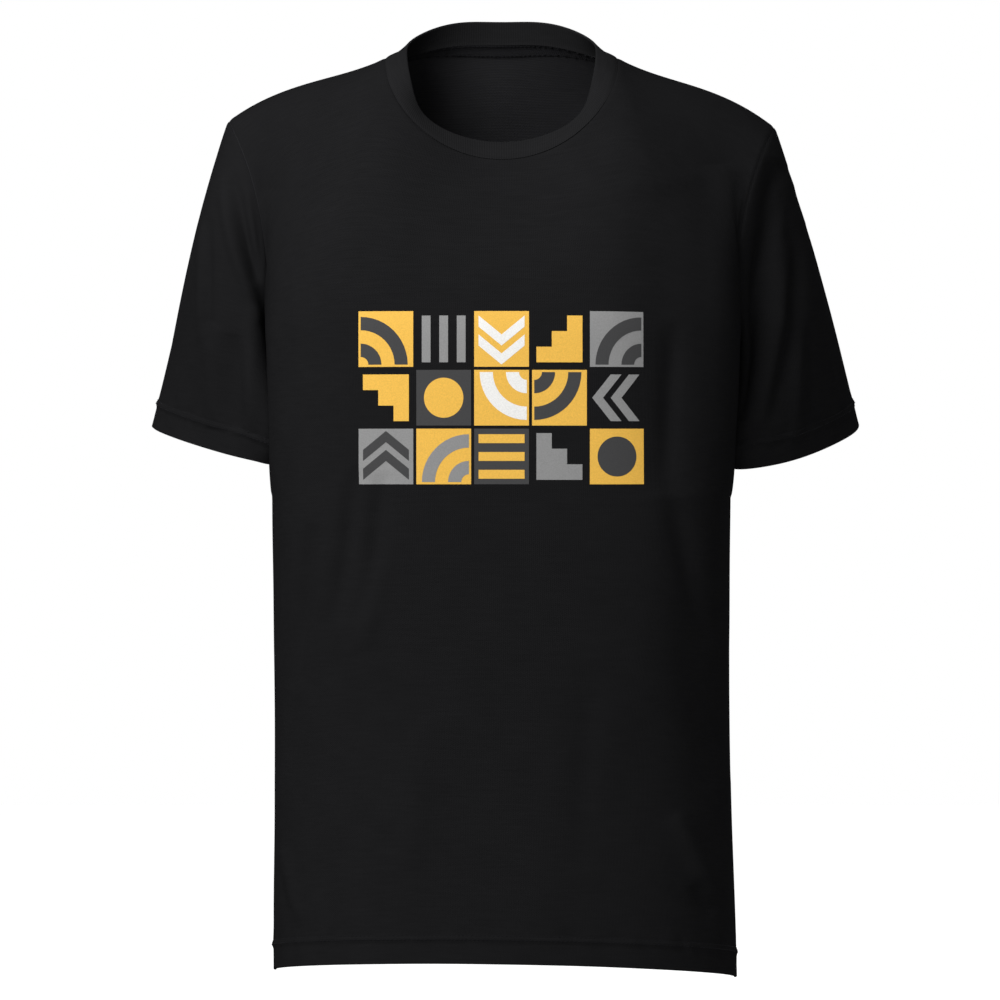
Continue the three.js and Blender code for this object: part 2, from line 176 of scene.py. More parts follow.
def solve(f: Callable[[Array], Array], low: Array, high: Array) -> Array:
    """The places between low and high where the rising function f reaches 0, found by halving.

    Args:
        f: The function.
        low: Where it is negative.
        high: Where it isn't.

    Returns:
        The places.
    """
    low, high = np.asarray(low, float).copy(), np.asarray(high, float).copy()
    for _ in range(HALVINGS):
        middle = (low + high) / 2
        short = f(middle) < 0
        low, high = np.where(short, middle, low), np.where(short, high, middle)
    return (low + high) / 2


def lengths(points: Array) -> Array:
    """How far along a line of points each one lies, in millimetres."""
    return np.concatenate([[0], np.cumsum(np.linalg.norm(np.diff(points, axis=0), axis=-1))])


def close_to_ends(length: float, step: float, start: bool, end: bool) -> Array:
    """Places from 0 to 1 on a line, one every step, and crowded at its ends, where a seam draws cloth in.

    Args:
        length: The line's length.
        step: The distance between places away from the ends.
        start: Whether the start is a seam.
        end: Whether the end is a seam.

    Returns:
        The places, rising.
    """
    low, high = (CROWD if start else ()), (CROWD if end else ())
    middle = np.linspace(CROWDED * start, length - CROWDED * end, max(2, round(length / step)))
    return np.unique(np.concatenate([[0], low, middle, length - np.array(high), [length]])) / length


# ---- Meshes ----


@dataclass
class Patch:
    """Part of a mesh: points in millimetres, four-sided faces, and a place on the cloth for each corner.

    Attributes:
        points: The points, one row each.
        faces: Four point numbers to a face.
        cloth: For each corner of each face, its place on the flat cloth, in metres.
    """

    points: Array
    faces: Array
    cloth: Array

    def flipped(self) -> "Patch":
        """The same patch, facing the other way."""
        return Patch(self.points, self.faces[:, ::-1], self.cloth[:, ::-1])


def lattice(points: Array, cloth: Array, closed: bool = False) -> Patch:
    """A patch over a lattice of points. It faces the side from which rows run up and columns to the right.

    Args:
        points: Rows by columns of points.
        cloth: Rows by columns of places on the flat cloth, in metres.
        closed: Whether the last column is the first one again.

    Returns:
        The patch.
    """
    rows, columns = points.shape[:2]
    kept = columns - 1 if closed else columns
    j, i = np.mgrid[0 : rows - 1, 0 : columns - 1].reshape(2, -1)
    corners = [(j, i), (j, i + 1), (j + 1, i + 1), (j + 1, i)]
    faces = np.stack([row * kept + column % kept for row, column in corners], axis=-1)
    places = np.stack([cloth[row, column] for row, column in corners], axis=1)
    return Patch(points[:, :kept].reshape(-1, 3), faces, places)


def joined(patches: list[Patch], weld: bool = True) -> Patch:
    """Joins patches into one.

    Args:
        patches: The patches.
        weld: Whether points that lie in one place become one.

    Returns:
        The joined patch.
    """
    starts = np.cumsum([0] + [len(p.points) for p in patches[:-1]])
    points = np.concatenate([p.points for p in patches])
    faces = np.concatenate([p.faces + start for p, start in zip(patches, starts)])
    cloth = np.concatenate([p.cloth for p in patches])
    if not weld:
        return Patch(points, faces, cloth)
    _, first, back = np.unique(np.round(points, 3), axis=0, return_index=True, return_inverse=True)
    return Patch(points[first], back.reshape(-1)[faces], cloth)


def make_piece(
    name: str, patch: Patch, finishes: "tuple[Finish, ...]", wall: float = 0.0
) -> Piece:
    """Makes a patch into a piece of the shirt.

    Args:
        name: The piece's name.
        patch: Its surface.
        finishes: What it is made of, and what the other side of the cloth looks like if that differs.
        wall: The cloth's thickness in millimetres, or 0 where the patch is already closed.

    Returns:
        The piece, which rides on the shirt's body.
    """
    mesh = bpy.data.meshes.new(name)
    count = len(patch.faces)
    mesh.vertices.add(len(patch.points))
    mesh.vertices.foreach_set("co", (patch.points * MM).astype(np.float32).ravel())
    mesh.loops.add(4 * count)
    mesh.loops.foreach_set("vertex_index", patch.faces.astype(np.int32).ravel())
    mesh.polygons.add(count)
    mesh.polygons.foreach_set("loop_start", np.arange(0, 4 * count, 4, dtype=np.int32))
    mesh.polygons.foreach_set("use_smooth", np.ones(count, bool))
    mesh.uv_layers.new(name="Cloth").data.foreach_set("uv", patch.cloth.astype(np.float32).ravel())
    mesh.update(calc_edges=True)
    mesh.validate()
    edges = np.empty(len(mesh.loops), np.int32)
    mesh.loops.foreach_get("edge_index", edges)
    mesh.edges.foreach_set("use_edge_sharp", np.bincount(edges, minlength=len(mesh.edges)) == 1)  # cut edges
    for finish in finishes:
        mesh.materials.append(finish.material())
    piece = bpy.data.objects.new(name, mesh)
    bpy.context.scene.collection.objects.link(piece)
    if wall:
        solidify = piece.modifiers.new("Wall", "SOLIDIFY")
        solidify.thickness = wall * MM
        solidify.offset = 0
        solidify.material_offset = len(finishes) - 1
    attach(piece, ROOT)
    log.info("%s: %d faces", name, count)
    return piece


def upright(surface: Callable[[Array, Array], Array], a: Array, b: Array) -> tuple[Array, Array]:
    """Points of a surface of two parameters, and the directions square to it, from a small step either way.

    Args:
        surface: The surface, a function of both parameters.
        a: The first parameter at each point.
        b: The second one.

    Returns:
        The points and directions.
    """
    e = 1e-3
    over, up = surface(a + e, b) - surface(a - e, b), surface(a, b + e) - surface(a, b - e)
    return surface(a, b), unit(np.cross(over, up))


def outwards(patch: Patch) -> Patch:
    """A closed patch with its faces pointing outwards, so that the volume they enclose is positive.

    Args:
        patch: The patch.

    Returns:
        The patch, turned over if need be.
    """
    a, b, c, d = (patch.points[patch.faces[:, k]] for k in range(4))
    volume = (a * np.cross(b, c)).sum() + (a * np.cross(c, d)).sum()
    return patch if volume > 0 else patch.flipped()


def tube(path: Array, up: Array, section: Array, closed: bool) -> Patch:
    """A section carried along a path.

    Args:
        path: The points of the path, the first one again at the end where it is closed.
        up: At each point, the direction of the section's second axis. Its first one is square to it.
        section: The section's points, going round once, the first one not repeated.
        closed: Whether the path is closed.

    Returns:
        The patch. The ends of an open path are closed by drawing their outline together in the middle.
    """
    step = np.roll(path, -1, axis=0) - np.roll(path, 1, axis=0)
    if closed:
        step[[0, -1]] = path[1] - path[-2]
    else:
        step[0], step[-1] = path[1] - path[0], path[-1] - path[-2]
    across = unit(np.cross(step, up))
    ring = np.concatenate([section, section[:1]])
    points = path[:, None] + across[:, None] * ring[None, :, :1] + up[:, None] * ring[None, :, 1:]
    along = np.broadcast_to(lengths(path)[:, None] * MM, points.shape[:2])
    around = np.broadcast_to(lengths(ring)[None] * MM, points.shape[:2])
    cloth = np.stack([along, around], axis=-1)
    if not closed:
        middle = points[:, :-1].mean(axis=1, keepdims=True)
        ends = [np.repeat(middle[k], len(ring), axis=0)[None] for k in (0, -1)]
        points = np.concatenate([ends[0], points, ends[1]])
        cloth = np.concatenate([cloth[:1], cloth, cloth[-1:]])
    return outwards(joined([lattice(points, cloth)]))


# ---- The cut ----


@dataclass(frozen=True)
class Hang:
    """How a sleeve hangs.

    Attributes:
        swing: How far the cuff's front hangs below its back, in degrees.
        twist: How far the cuff's opening is turned away from the body in front, in degrees.
        tuck: How steeply the sleeve's front falls back behind the panel's edge, as a slope.
        fill: How much the sleeve is filled out in front next to the body, as a slope.
        fill_at: Where round the sleeve it is filled out most, in degrees.
        fill_width: How far round from there it has fallen to 1/e.
        fill_inward: How much of it goes on towards the body.
        reach: How much further out the cuff's outer side stands, in millimetres.
        press: How far the cuff's inner side is pressed towards the body, in millimetres.
    """

    swing: float
    twist: float
    tuck: float
    fill: float
    reach: float
    press: float
    fill_at: float = 161
    fill_width: float = 31
    fill_inward: float = 0.3


@dataclass(frozen=True)
class Cut:
    """The shirt's cut, in millimetres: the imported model's seam lines and surfaces, with a fuller chest.

    Along a panel, u runs from -1 at one side to 1 at the other, from the wearer's right to left in front and
    from left to right behind, and v from 0 at the hem to 1 at the shoulder seams.

    Attributes:
        rings: Half width, depth in front, depth behind and shift of the body's rings, from the hem up.
    """

    cloth: float = 0.8  # one layer of jersey
    gap: float = 0.3  # clearance between layers
    body_length: float = 732  # high shoulder point down to the hem at the sides
    hem_arch: float = 21  # how much higher the hem hangs at the centre than at the sides
    hem_slant: float = 3  # how much lower the hem hangs at the wearer's left side
    hem_depth: float = 22  # height of the turned-up hems and cuffs
    side_set: float = 4  # how far the side seams lie behind the high shoulder points
    squareness: tuple[float, ...] = (0.03, 0.03, 0.07, 0.08)  # of the rings, from the hem up
    rings: tuple[tuple[float, ...], ...] = (
        (185, 182, 182, 183),
        (121, 119, 125, 131),
        (117, 113, 115, 123),
        (3, 1, 0, 0),
    )
    shoulder_half: float = 218  # centre to the shoulder point, where the sleeve is set on
    shoulder_drop: float = 53  # high shoulder point down to the shoulder point
    shoulder_slant: float = 2.5  # how much lower the wearer's left shoulder point lies
    shoulder_set: float = 5  # how far the shoulder point lies behind the high shoulder point
    slope_at_neck: float = 0.5  # fall of the shoulder seam at the neck, per unit of width
    slope_at_tip: float = 0.8  # the same at the shoulder point
    armhole_height: float = 179  # shoulder point down to the armpit
    armhole_half_depth: float = 64  # the armhole's reach in front of its middle, and behind it
    armhole_grip: float = 4  # the power of u that keeps the armhole's bend to the panel's edge
    neck_half: float = 91  # centre to the high shoulder point
    front_drop: float = 86  # high shoulder point down to the neck seam at the centre front
    back_reach: float = 36  # high shoulder point back to the neck seam at the centre back
    front_crown: tuple[float, float, float] = (8, 0, 66)  # reach, rise and lean of the panel over the neck
    back_crown: tuple[float, float, float] = (19, 24, 62)
    crown_pull: float = 0.8  # how firmly a panel keeps that lean as it reaches its top line
    cuff_out: float = 235  # centre to the middle of the cuff
    cuff_down: float = 308.5  # high shoulder point down to the middle of the cuff
    cuff_set: float = 30  # how far the middle of the cuff lies behind the high shoulder point
    cuff_half_width: float = 53.5
    cuff_spread: float = 1  # how much further out and wider the cuff hangs on the wearer's left
    cuff_half_depth: float = 62
    cuff_tilt: float = 16.3  # how far the cuff is tipped up on its outer side, in degrees
    sleeve_lean: tuple[float, float, float, float] = (20, 55, 4, 15)  # in degrees: top, side, armpit, cuff

    @property
    def armpit_drop(self) -> float:
        """High shoulder point down to the armpits."""
        return self.shoulder_drop + self.armhole_height

    @property
    def neck_share(self) -> float:
        """The part of a panel's top edge that is neckline."""
        return self.neck_half / self.shoulder_half

    @property
    def body_share(self) -> float:
        """The part of a panel's height that lies below the armpits."""
        return 1 - self.armpit_drop / self.body_length

    def body_point(self, u: Array, f: Array, facing: Facing) -> Array:
        """A point of the body below the armpits, f from 0 at the hem to 1 at the armpits.

        Each ring is nearly an ellipse: its width follows the sine of the angle and its depth the cosine, with
        a little of the third harmonic to square it. The hem arches up at the middle as the cosine.

        Args:
            u: Places across the panel.
            f: Places up, as above.
            facing: Which panel.

        Returns:
            The points.
        """
        half_width, front, back, shift = (through(sizes, f) for sizes in self.rings)
        square = through(self.squareness, f)
        a = u * QUARTER
        across = (np.sin(a) + square * np.sin(3 * a)) / (1 - square)
        outward = (np.cos(a) - square * np.cos(3 * a)) / (1 - square)
        x = -facing.value * half_width * across
        hem = self.hem_arch * np.cos(a) - self.hem_slant * x / half_width - self.body_length
        depth = front if facing is Facing.FRONT else back
        y = self.side_set + facing.value * depth * outward
        return vectors(x + shift, y, mix(hem, -self.armpit_drop, f))

    def shoulder_point(self, t: Array, side: Array) -> Array:
        """A point of a shoulder seam, t from 0 at the neck to 1 at the shoulder point, on one cubic.

        Args:
            t: Places along the seam.
            side: 1 on the wearer's left, -1 on the right.

        Returns:
            The points.
        """
        width = self.shoulder_half - self.neck_half
        neck = np.array([self.neck_half, 0, 0])
        tip = np.array([self.shoulder_half, self.shoulder_set, -self.shoulder_drop])
        out = np.array([width, self.shoulder_set, -self.slope_at_neck * width])
        into = np.array([width, self.shoulder_set, -self.slope_at_tip * width])
        p = sweep(neck, tip, out, into, t)
        return vectors(side * p[..., 0], p[..., 1], p[..., 2] - side * self.shoulder_slant * t)

    def crown(self, facing: Facing) -> tuple[float, float, float]:
        """Reach, rise and lean of a panel's surface over the neck hole."""
        return self.front_crown if facing is Facing.FRONT else self.back_crown

    def top_point(self, u: Array, facing: Facing) -> Array:
        """A point of a panel's top line: the shoulder seams, joined over the neck hole by a quartic arch.

        Args:
            u: Places across the panel.
            facing: Which panel.

        Returns:
            The points.
        """
        side = -facing.value * np.sign(u)
        share = np.abs(u) / self.neck_share
        reach, rise, _ = self.crown(facing)
        inward = np.clip(1 - share**2, 0, None)
        lift = self.slope_at_neck * self.neck_half * inward / 2 + rise * inward**2
        over_neck = vectors(side * self.neck_half * share, facing.value * reach * inward**2, lift)
        t = np.clip((np.abs(u) - self.neck_share) / (1 - self.neck_share), 0, 1)
        return np.where((share >= 1)[..., None], self.shoulder_point(t, side), over_neck)

    def armhole_point(self, turn: Array, facing: Array, side: Array) -> Array:
        """A point of an armhole, turn from 0 at the shoulder point to half a circle at the armpit.

        Seen from the side it is an ellipse. Seen from the front it runs in to the side seam as a cubic.

        Args:
            turn: Places down the armhole.
            facing: -1 in front, 1 behind.
            side: 1 on the wearer's left, -1 on the right.

        Returns:
            The points.
        """
        down = (1 - np.cos(turn)) / 2
        top = self.shoulder_drop + side * self.shoulder_slant
        chest = self.rings[0][-1]
        x = chest + (self.shoulder_half - chest) * (1 - down) ** 3
        middle = mix(self.shoulder_set, self.side_set, down)
        y = middle + facing * self.armhole_half_depth * np.sin(turn)
        return vectors(side * x, y, -mix(top, self.armpit_drop, down))

    def armhole_round(self, turn: Array, side: Side) -> Array:
        """Points all the way round an armhole: down its front from the shoulder point, and up its back.

        Args:
            turn: Places round it, from 0 to a circle.
            side: Which side.

        Returns:
            The points.
        """
        turn = np.mod(turn, CIRCLE)
        front = turn <= math.pi
        folded = np.where(front, turn, CIRCLE - turn)
        return self.armhole_point(folded, np.where(front, -1.0, 1.0), side.value)

    def plain_yoke_point(self, u: Array, s: Array, facing: Facing) -> Array:
        """A point of a panel above the armpits before the armhole bends it: a cubic up from the chest.

        Args:
            u: Places across the panel.
            s: Places up, from 0 at the armpits to 1.
            facing: Which panel.

        Returns:
            The points.
        """
        chest = self.body_point(u, np.ones_like(u), facing)
        top = self.top_point(u, facing)
        reach = np.linalg.norm(top - chest, axis=-1, keepdims=True)
        just_below = self.body_point(u, np.full_like(u, 0.98), facing)
        out = unit(chest - just_below) * reach
        inward = np.clip(1 - (u / self.neck_share) ** 2, 0, None)
        lean = np.radians(self.crown(facing)[2] * inward**2)
        into = vectors(0, -facing.value * np.cos(lean), np.sin(lean)) * reach * self.crown_pull
        return sweep(chest, top, out, into, s)

    def yoke_point(self, u: Array, s: Array, facing: Facing) -> Array:
        """A point of a panel above the armpits, where the armhole draws its side over as a power of u.

        Args:
            u: Places across the panel.
            s: Places up, from 0 at the armpits to 1.
            facing: Which panel.

        Returns:
            The points.
        """
        end = np.where(u < 0, -1.0, 1.0)
        armhole = self.armhole_point(math.pi * (1 - s), facing.value, -facing.value * end)
        bend = armhole - self.plain_yoke_point(end, s, facing)
        return self.plain_yoke_point(u, s, facing) + bend * (np.abs(u) ** self.armhole_grip)[..., None]

    def panel_point(self, u: Array, v: Array, facing: Facing) -> Array:
        """A point of the front or back panel, its neck hole included.

        Args:
            u: Places across the panel.
            v: Places up the panel.
            facing: Which panel.

        Returns:
            The points.
        """
        u, v = (np.asarray(a, float) for a in np.broadcast_arrays(u, v))
        low = self.body_point(u, np.clip(v / self.body_share, 0, 1), facing)
        high = self.yoke_point(u, np.clip((v - self.body_share) / (1 - self.body_share), 0, 1), facing)
        return np.where((v <= self.body_share)[..., None], low, high)

    def outside_neck(self, p: Array, facing: Facing) -> Array:
        """How far points lie outside the neckline: 0 on it, where half an ellipse passes through them.

        The ellipse is seen from the front on the front panel, and from above on the back one.

        Args:
            p: Points.
            facing: Which panel.

        Returns:
            The ellipse's value at each point, less 1.
        """
        if facing is Facing.FRONT:
            down = np.minimum(0, p[..., 2]) / self.front_drop
        else:
            down = p[..., 1] / self.back_reach
        return (p[..., 0] / self.neck_half) ** 2 + down**2 - 1

    def neck_row(self, facing: Facing) -> float:
        """The row of a panel that touches the lowest point of its neckline.

        Args:
            facing: Which panel.

        Returns:
            Its place up the panel.
        """

        def inside(v: Array) -> Array:
            """How far inside the neckline the panel's middle lies."""
            return -self.outside_neck(self.panel_point(np.zeros(1), v, facing), facing)

        return float(solve(inside, np.array([self.body_share]), np.ones(1))[0])

    def row_start(self, v: Array, facing: Facing) -> Array:
        """The place along each row where the cloth begins: at its middle, or at the neckline higher up.

        Args:
            v: The rows.
            facing: Which panel.

        Returns:
            The places across, from 0 in the middle.
        """
        v = np.asarray(v, float)

        def outside(u: Array) -> Array:
            """How far outside the neckline a place on each row lies."""
            return self.outside_neck(self.panel_point(u, v, facing), facing)

        start = solve(outside, np.zeros_like(v), np.full_like(v, self.neck_share))
        start = np.where(v >= 1, self.neck_share, start)
        return np.where(v <= self.neck_row(facing), 0, start)

    def sleeve_point(self, turn: Array, w: Array, side: Side, hang: Hang) -> Array:
        """A point of a sleeve, w from 0 at the armhole to 1 at the cuff, on a cubic from one to the other.

        Args:
            turn: The place round the sleeve: 0 on the outside, a quarter circle in front.
            w: The place along it.
            side: The side it is on.
            hang: How it hangs.

        Returns:
            The points.
        """
        turn, w = (np.asarray(a, float) for a in np.broadcast_arrays(turn, w))
        turn = np.mod(turn, CIRCLE)
        start = self.armhole_round(turn, side)
        end = self.cuff_point(turn, side, hang)
        reach = np.linalg.norm(end - start, axis=-1, keepdims=True)
        top, flank, armpit, cuff = self.sleeve_lean
        off = np.radians(mix(mix(top, armpit, (1 - np.cos(turn)) / 2), flank, np.sin(turn) ** 2))
        tuck = hang.tuck * np.clip(np.sin(turn), 0, 1) ** 2
        fill = hang.fill * bell(turn - math.radians(hang.fill_at), math.radians(hang.fill_width))
        inward = -hang.fill_inward * side.value * fill
        out = vectors(side.value * np.sin(off) + inward, tuck - fill, -np.cos(off)) * reach
        along, back = math.radians(cuff), math.radians(hang.swing)
        flare = side.value * math.sin(along) * np.maximum(0, np.cos(turn))
        into = unit(vectors(flare - inward, math.sin(back) + fill, -math.cos(along))) * reach
        return sweep(start, end, out, into, w)

    def cuff_point(self, turn: Array, side: Side, hang: Hang) -> Array:
        """A point of a cuff's edge, which is an ellipse tipped up on its outer side.

        The twist makes its depth lag behind its width, which lays the ellipse slantwise in the same box.

        Args:
            turn: Places round the sleeve.
            side: Which side.
            hang: How the sleeve hangs.

        Returns:
            The points.
        """
        tilt, back, twist = (math.radians(a) for a in (self.cuff_tilt, hang.swing, hang.twist))
        spread = side.value * self.cuff_spread
        middle = np.array([side.value * (self.cuff_out + spread), self.cuff_set, -self.cuff_down])
        further = mix(hang.press, hang.reach, smooth(np.cos(turn), -1, 1)) * np.abs(np.cos(turn))
        wide = np.cos(turn) * (self.cuff_half_width + spread + further)
        deep = self.cuff_half_depth * np.sin(turn - twist) * math.cos(back)
        drop = self.cuff_half_depth * np.sin(turn) * math.sin(back)
        return middle + vectors(side.value * math.cos(tilt) * wide, -deep, math.sin(tilt) * wide - drop)


CUT = Cut()


# ---- Folds ----


@dataclass(frozen=True)
class Fold:
    """A ridge or valley in cloth, laid along a curve as it is seen from the front or from behind.

    Attributes:
        start: X and Z of its start.
        middle: X and Z of a point halfway along it.
        end: X and Z of its end.
        height: Its height at the middle, negative for a valley.
        width: The distance from its line to where it has fallen to 1/e.
    """

    start: tuple[float, float]
    middle: tuple[float, float]
    end: tuple[float, float]
    height: float
    width: float

    def relief(self, points: Array) -> Array:
        """The fold's height at each point: a bell across its line, times the root of a sine along it.

        The line is the parabola through the three points, in sixteen straight stretches.

        Args:
            points: Points of the cloth.

        Returns:
            The heights.
        """
        start, middle, end = (np.array(p, float) for p in (self.start, self.middle, self.end))
        t = np.linspace(0, 1, 17)[:, None]
        line = (1 - t) * (1 - 2 * t) * start + 4 * t * (1 - t) * middle + t * (2 * t - 1) * end
        seen = points[..., None, [0, 2]]
        step = np.diff(line, axis=0)
        share = np.clip(((seen - line[:-1]) * step).sum(-1) / (step * step).sum(-1), 0, 1)
        away = np.linalg.norm(seen - line[:-1] - share[..., None] * step, axis=-1)
        nearest = away.argmin(axis=-1)[..., None]
        along = (nearest + np.take_along_axis(share, nearest, -1)) / len(step)
        across = np.take_along_axis(away, nearest, -1)
        return (self.height * bell(across, self.width) * np.sqrt(np.sin(math.pi * along)))[..., 0]


FRONT_FOLDS = (
    Fold((175, -90), (178, -200), (181, -350), 9.0, 12),
    Fold((118, -110), (134, -220), (142, -350), -8.0, 34),
    Fold((-178, -110), (-180, -200), (-181, -350), 5.1, 12),
    Fold((138, -350), (150, -450), (170, -580), -5.0, 20),
    Fold((-113, -330), (-120, -390), (-129, -450), -3.4, 7),
    Fold((-94, -400), (-102, -440), (-110, -470), 2.5, 8),
    Fold((-92, -333), (-97, -385), (-104, -445), -3.0, 7),
    Fold((-146, -372), (-153, -430), (-161, -500), -4.6, 7),
    Fold((-172, -628), (-166, -656), (-156, -682), 2.9, 5),
    Fold((136, -216), (132, -280), (128, -348), -3.2, 9),
    Fold((130, -340), (146, -402), (166, -466), -3.2, 9),
    Fold((134, -598), (152, -634), (168, -668), 5.1, 8),
    Fold((150, -652), (158, -664), (168, -678), -3.9, 6),
    Fold((-60, -520), (-66, -580), (-70, -640), 1.9, 12),
    Fold((70, -480), (64, -560), (62, -640), -1.9, 12),
)
BACK_FOLDS = (
    Fold((-150, -190), (-118, -260), (-96, -350), 1.6, 11),
    Fold((148, -196), (120, -262), (92, -330), 1.5, 10),
    Fold((-60, -420), (-72, -520), (-70, -640), 1.4, 14),
    Fold((30, -380), (22, -500), (28, -650), -1.3, 14),
    Fold((96, -430), (112, -530), (118, -660), 1.6, 12),
    Fold((-128, -500), (-138, -580), (-140, -690), -1.3, 10),
    Fold((-40, -60), (0, -92), (46, -66), -0.9, 12),
)
LEFT_SLEEVE_FOLDS = (
    Fold((231, -146), (222, -206), (204, -296), 4.0, 6.5),
    Fold((231, -104), (231, -152), (226, -205), -4.0, 8),
    Fold((220, -84), (205, -180), (190, -290), -12.5, 9),
    Fold((239, -132), (231, -208), (214, -292), -4.5, 7),
    Fold((237, -214), (236, -262), (233, -306), 2.6, 5),
    Fold((246, -210), (248, -250), (250, -296), -1.8, 6),
    Fold((262, -222), (266, -256), (270, -286), 1.8, 5),
    Fold((222, -100), (218, -116), (211, -130), 2.0, 4),
)
RIGHT_SLEEVE_FOLDS = (
    Fold((-219, -96), (-211, -150), (-189, -214), 4.2, 5.5),
    Fold((-211, -98), (-201, -148), (-192, -182), -4.8, 4.5),
    Fold((-199, -104), (-195, -140), (-192, -164), 2.7, 3.5),
    Fold((-238, -130), (-238, -180), (-239, -228), 2.4, 4),
    Fold((-232, -128), (-232, -178), (-233, -230), -2.7, 4),
    Fold((-229, -214), (-229, -250), (-228, -296), 3.3, 8),
    Fold((-212, -222), (-210, -256), (-209, -300), -3.0, 9),
    Fold((-196, -200), (-197, -250), (-198, -300), 3.8, 7),
)
SLEEVE_BACK_FOLDS = (
    Fold((222, -120), (214, -168), (204, -224), -3.0, 6),
    Fold((232, -128), (228, -180), (220, -246), 2.6, 8),
    Fold((248, -180), (250, -226), (256, -276), -1.8, 8),
)


def mirrored(folds: tuple[Fold, ...]) -> tuple[Fold, ...]:
    """The same folds on the shirt's other side."""
    return tuple(Fold(*((-x, z) for x, z in (f.start, f.middle, f.end)), f.height, f.width) for f in folds)


def swell(x: Array, z: Array, seed: int, low: float, high: float, tilt: float = 0.35) -> Array:
    """The gentle unevenness of hanging cloth: eight sine waves that run mostly sideways, a quarter high each.

    Args:
        x: Places across the cloth.
        z: Places along it.
        seed: Which waves.
        low: The shortest wave's length.
        high: The longest wave's length.
        tilt: How much the waves may lean.

    Returns:
        The height at each place, about -1 to 1.
    """
    rng = np.random.default_rng(seed)
    waves = zip(rng.uniform(low, high, 8), rng.normal(0, tilt, 8), rng.uniform(0, 6.28, 8))
    total = np.zeros(np.broadcast(x, z).shape)
    for length, lean, phase in waves:
        way = x * math.cos(lean) + z * math.sin(lean)
        total += np.sin(CIRCLE / length * way + phase) / 4
    return total


def turned_hem(cut: Cut) -> tuple[Array, Array]:
    """The way cloth takes through a turned-up hem, from its raw edge inside, round the fold and up outside.

    The two layers lie flat on each other, and half a circle joins them below.

    Args:
        cut: The shirt's cut.

    Returns:
        The height above the fold at each step, and how far the cloth lies outside the outer layer there.
    """
    bend = (cut.cloth + cut.gap) / 2
    raw_edge, top = cut.hem_depth + 1.5, cut.hem_depth + 8
    step = 1.2
    inside = np.linspace(raw_edge, bend + 1.5, 12)
    turn = np.linspace(-QUARTER, QUARTER, 7)
    outside = np.arange(bend + step, top, step)
    height = np.concatenate([inside, bend - bend * np.cos(turn), outside])
    layers = np.full(len(inside), -2 * bend), bend * np.sin(turn) - bend, np.zeros(len(outside))
    return height, np.concatenate(layers)


@dataclass(frozen=True)
class Coverstitch:
    """Two rows of stitches that hold a turned-up hem.

    Attributes:
        height: The height of their middle above the fold.
        apart: The distance between the rows.
        width: Half the width of the groove that a row presses.
        ridge: The height of the ridge that they leave between them.
        groove: The depth of the grooves.
        pucker: The height of the puckers.
    """

    height: float = 21.0
    apart: float = 3.2
    width: float = 0.8
    ridge: float = 1.05
    groove: float = 0.2
    pucker: float = 0.5

    @property
    def rows(self) -> tuple[float, float]:
        """The heights of the two rows."""
        return self.height - self.apart / 2, self.height + self.apart / 2

    def relief(self, height: Array, along: Array, seed: int) -> Array:
        """How the rows shape the cloth: a groove at each, a ridge between, and puckers that fade from there.

        The ridge slopes off a little more gently below than above.

        Args:
            height: Heights above the fold.
            along: Places along the hem.
            seed: Which puckers.

        Returns:
            The heights.
        """
        grooves = sum(bell(height - row, self.width) for row in self.rows)
        low = self.rows[0]
        rise = smooth(height, low - self.apart, low + self.width / 2)
        ridge = rise * smooth(height, low + self.apart + self.width, low + self.width)
        puckers = swell(along, height, seed, 9, 26, 0.3) * bell(height - self.height, 9)
        return self.ridge * ridge - self.groove * grooves + self.pucker * puckers


@dataclass(frozen=True)
class Seam:
    """How a seam shapes the cloth beside it.

    Attributes:
        draw: How far it draws the edge of the cloth in.
        near: The distance from it to where that has fallen to 1/e.
        roll: The height of the low roll that the allowance behind the cloth lifts.
        off: The roll's distance from the seam.
        wide: The distance from the roll's crest to where it has fallen to 1/e.
    """

    draw: float
    near: float = 1.5
    roll: float = 0.0
    off: float = 4
    wide: float = 2.5

    def relief(self, away: Array) -> Array:
        """The height at each distance from the seam: a narrow bell down, and a wider and lower one up."""
        return self.roll * bell(away - self.off, self.wide) - self.draw * bell(away, self.near)


SIDE_SEAM = Seam(0.5)
ARMHOLE_ROLL = Seam(0.0, roll=0.12)
SHOULDER_SEAM = Seam(1.1, roll=0.25)
NECK_SEAM = Seam(0.7, near=1.7, roll=0.15, off=4.5, wide=2.6)


# ---- Finishes ----


def linear(code: str) -> tuple[float, float, float, float]:
    """An sRGB colour, such as #1B1B1C, as linear red, green, blue and an opaque alpha."""
    parts = [int(code[i : i + 2], 16) / 255 for i in (1, 3, 5)]
    return *(c / 12.92 if c <= 0.04045 else ((c + 0.055) / 1.055) ** 2.4 for c in parts), 1.0


def add(tree: Tree, kind: str, inputs: dict | None = None, **settings: object) -> bpy.types.Node:
    """Adds a node to a material.

    Args:
        tree: The material's nodes.
        kind: The node's type.
        inputs: A number, colour or other node's socket for each input, by its name or place.
        settings: The node's own settings.

    Returns:
        The node.
    """
    node = tree.nodes.new(kind)
    for key, value in settings.items():
        setattr(node, key, value)
    for key, value in (inputs or {}).items():
        if isinstance(value, Socket):
            tree.links.new(value, node.inputs[key])
        else:
            node.inputs[key].default_value = value
    return node


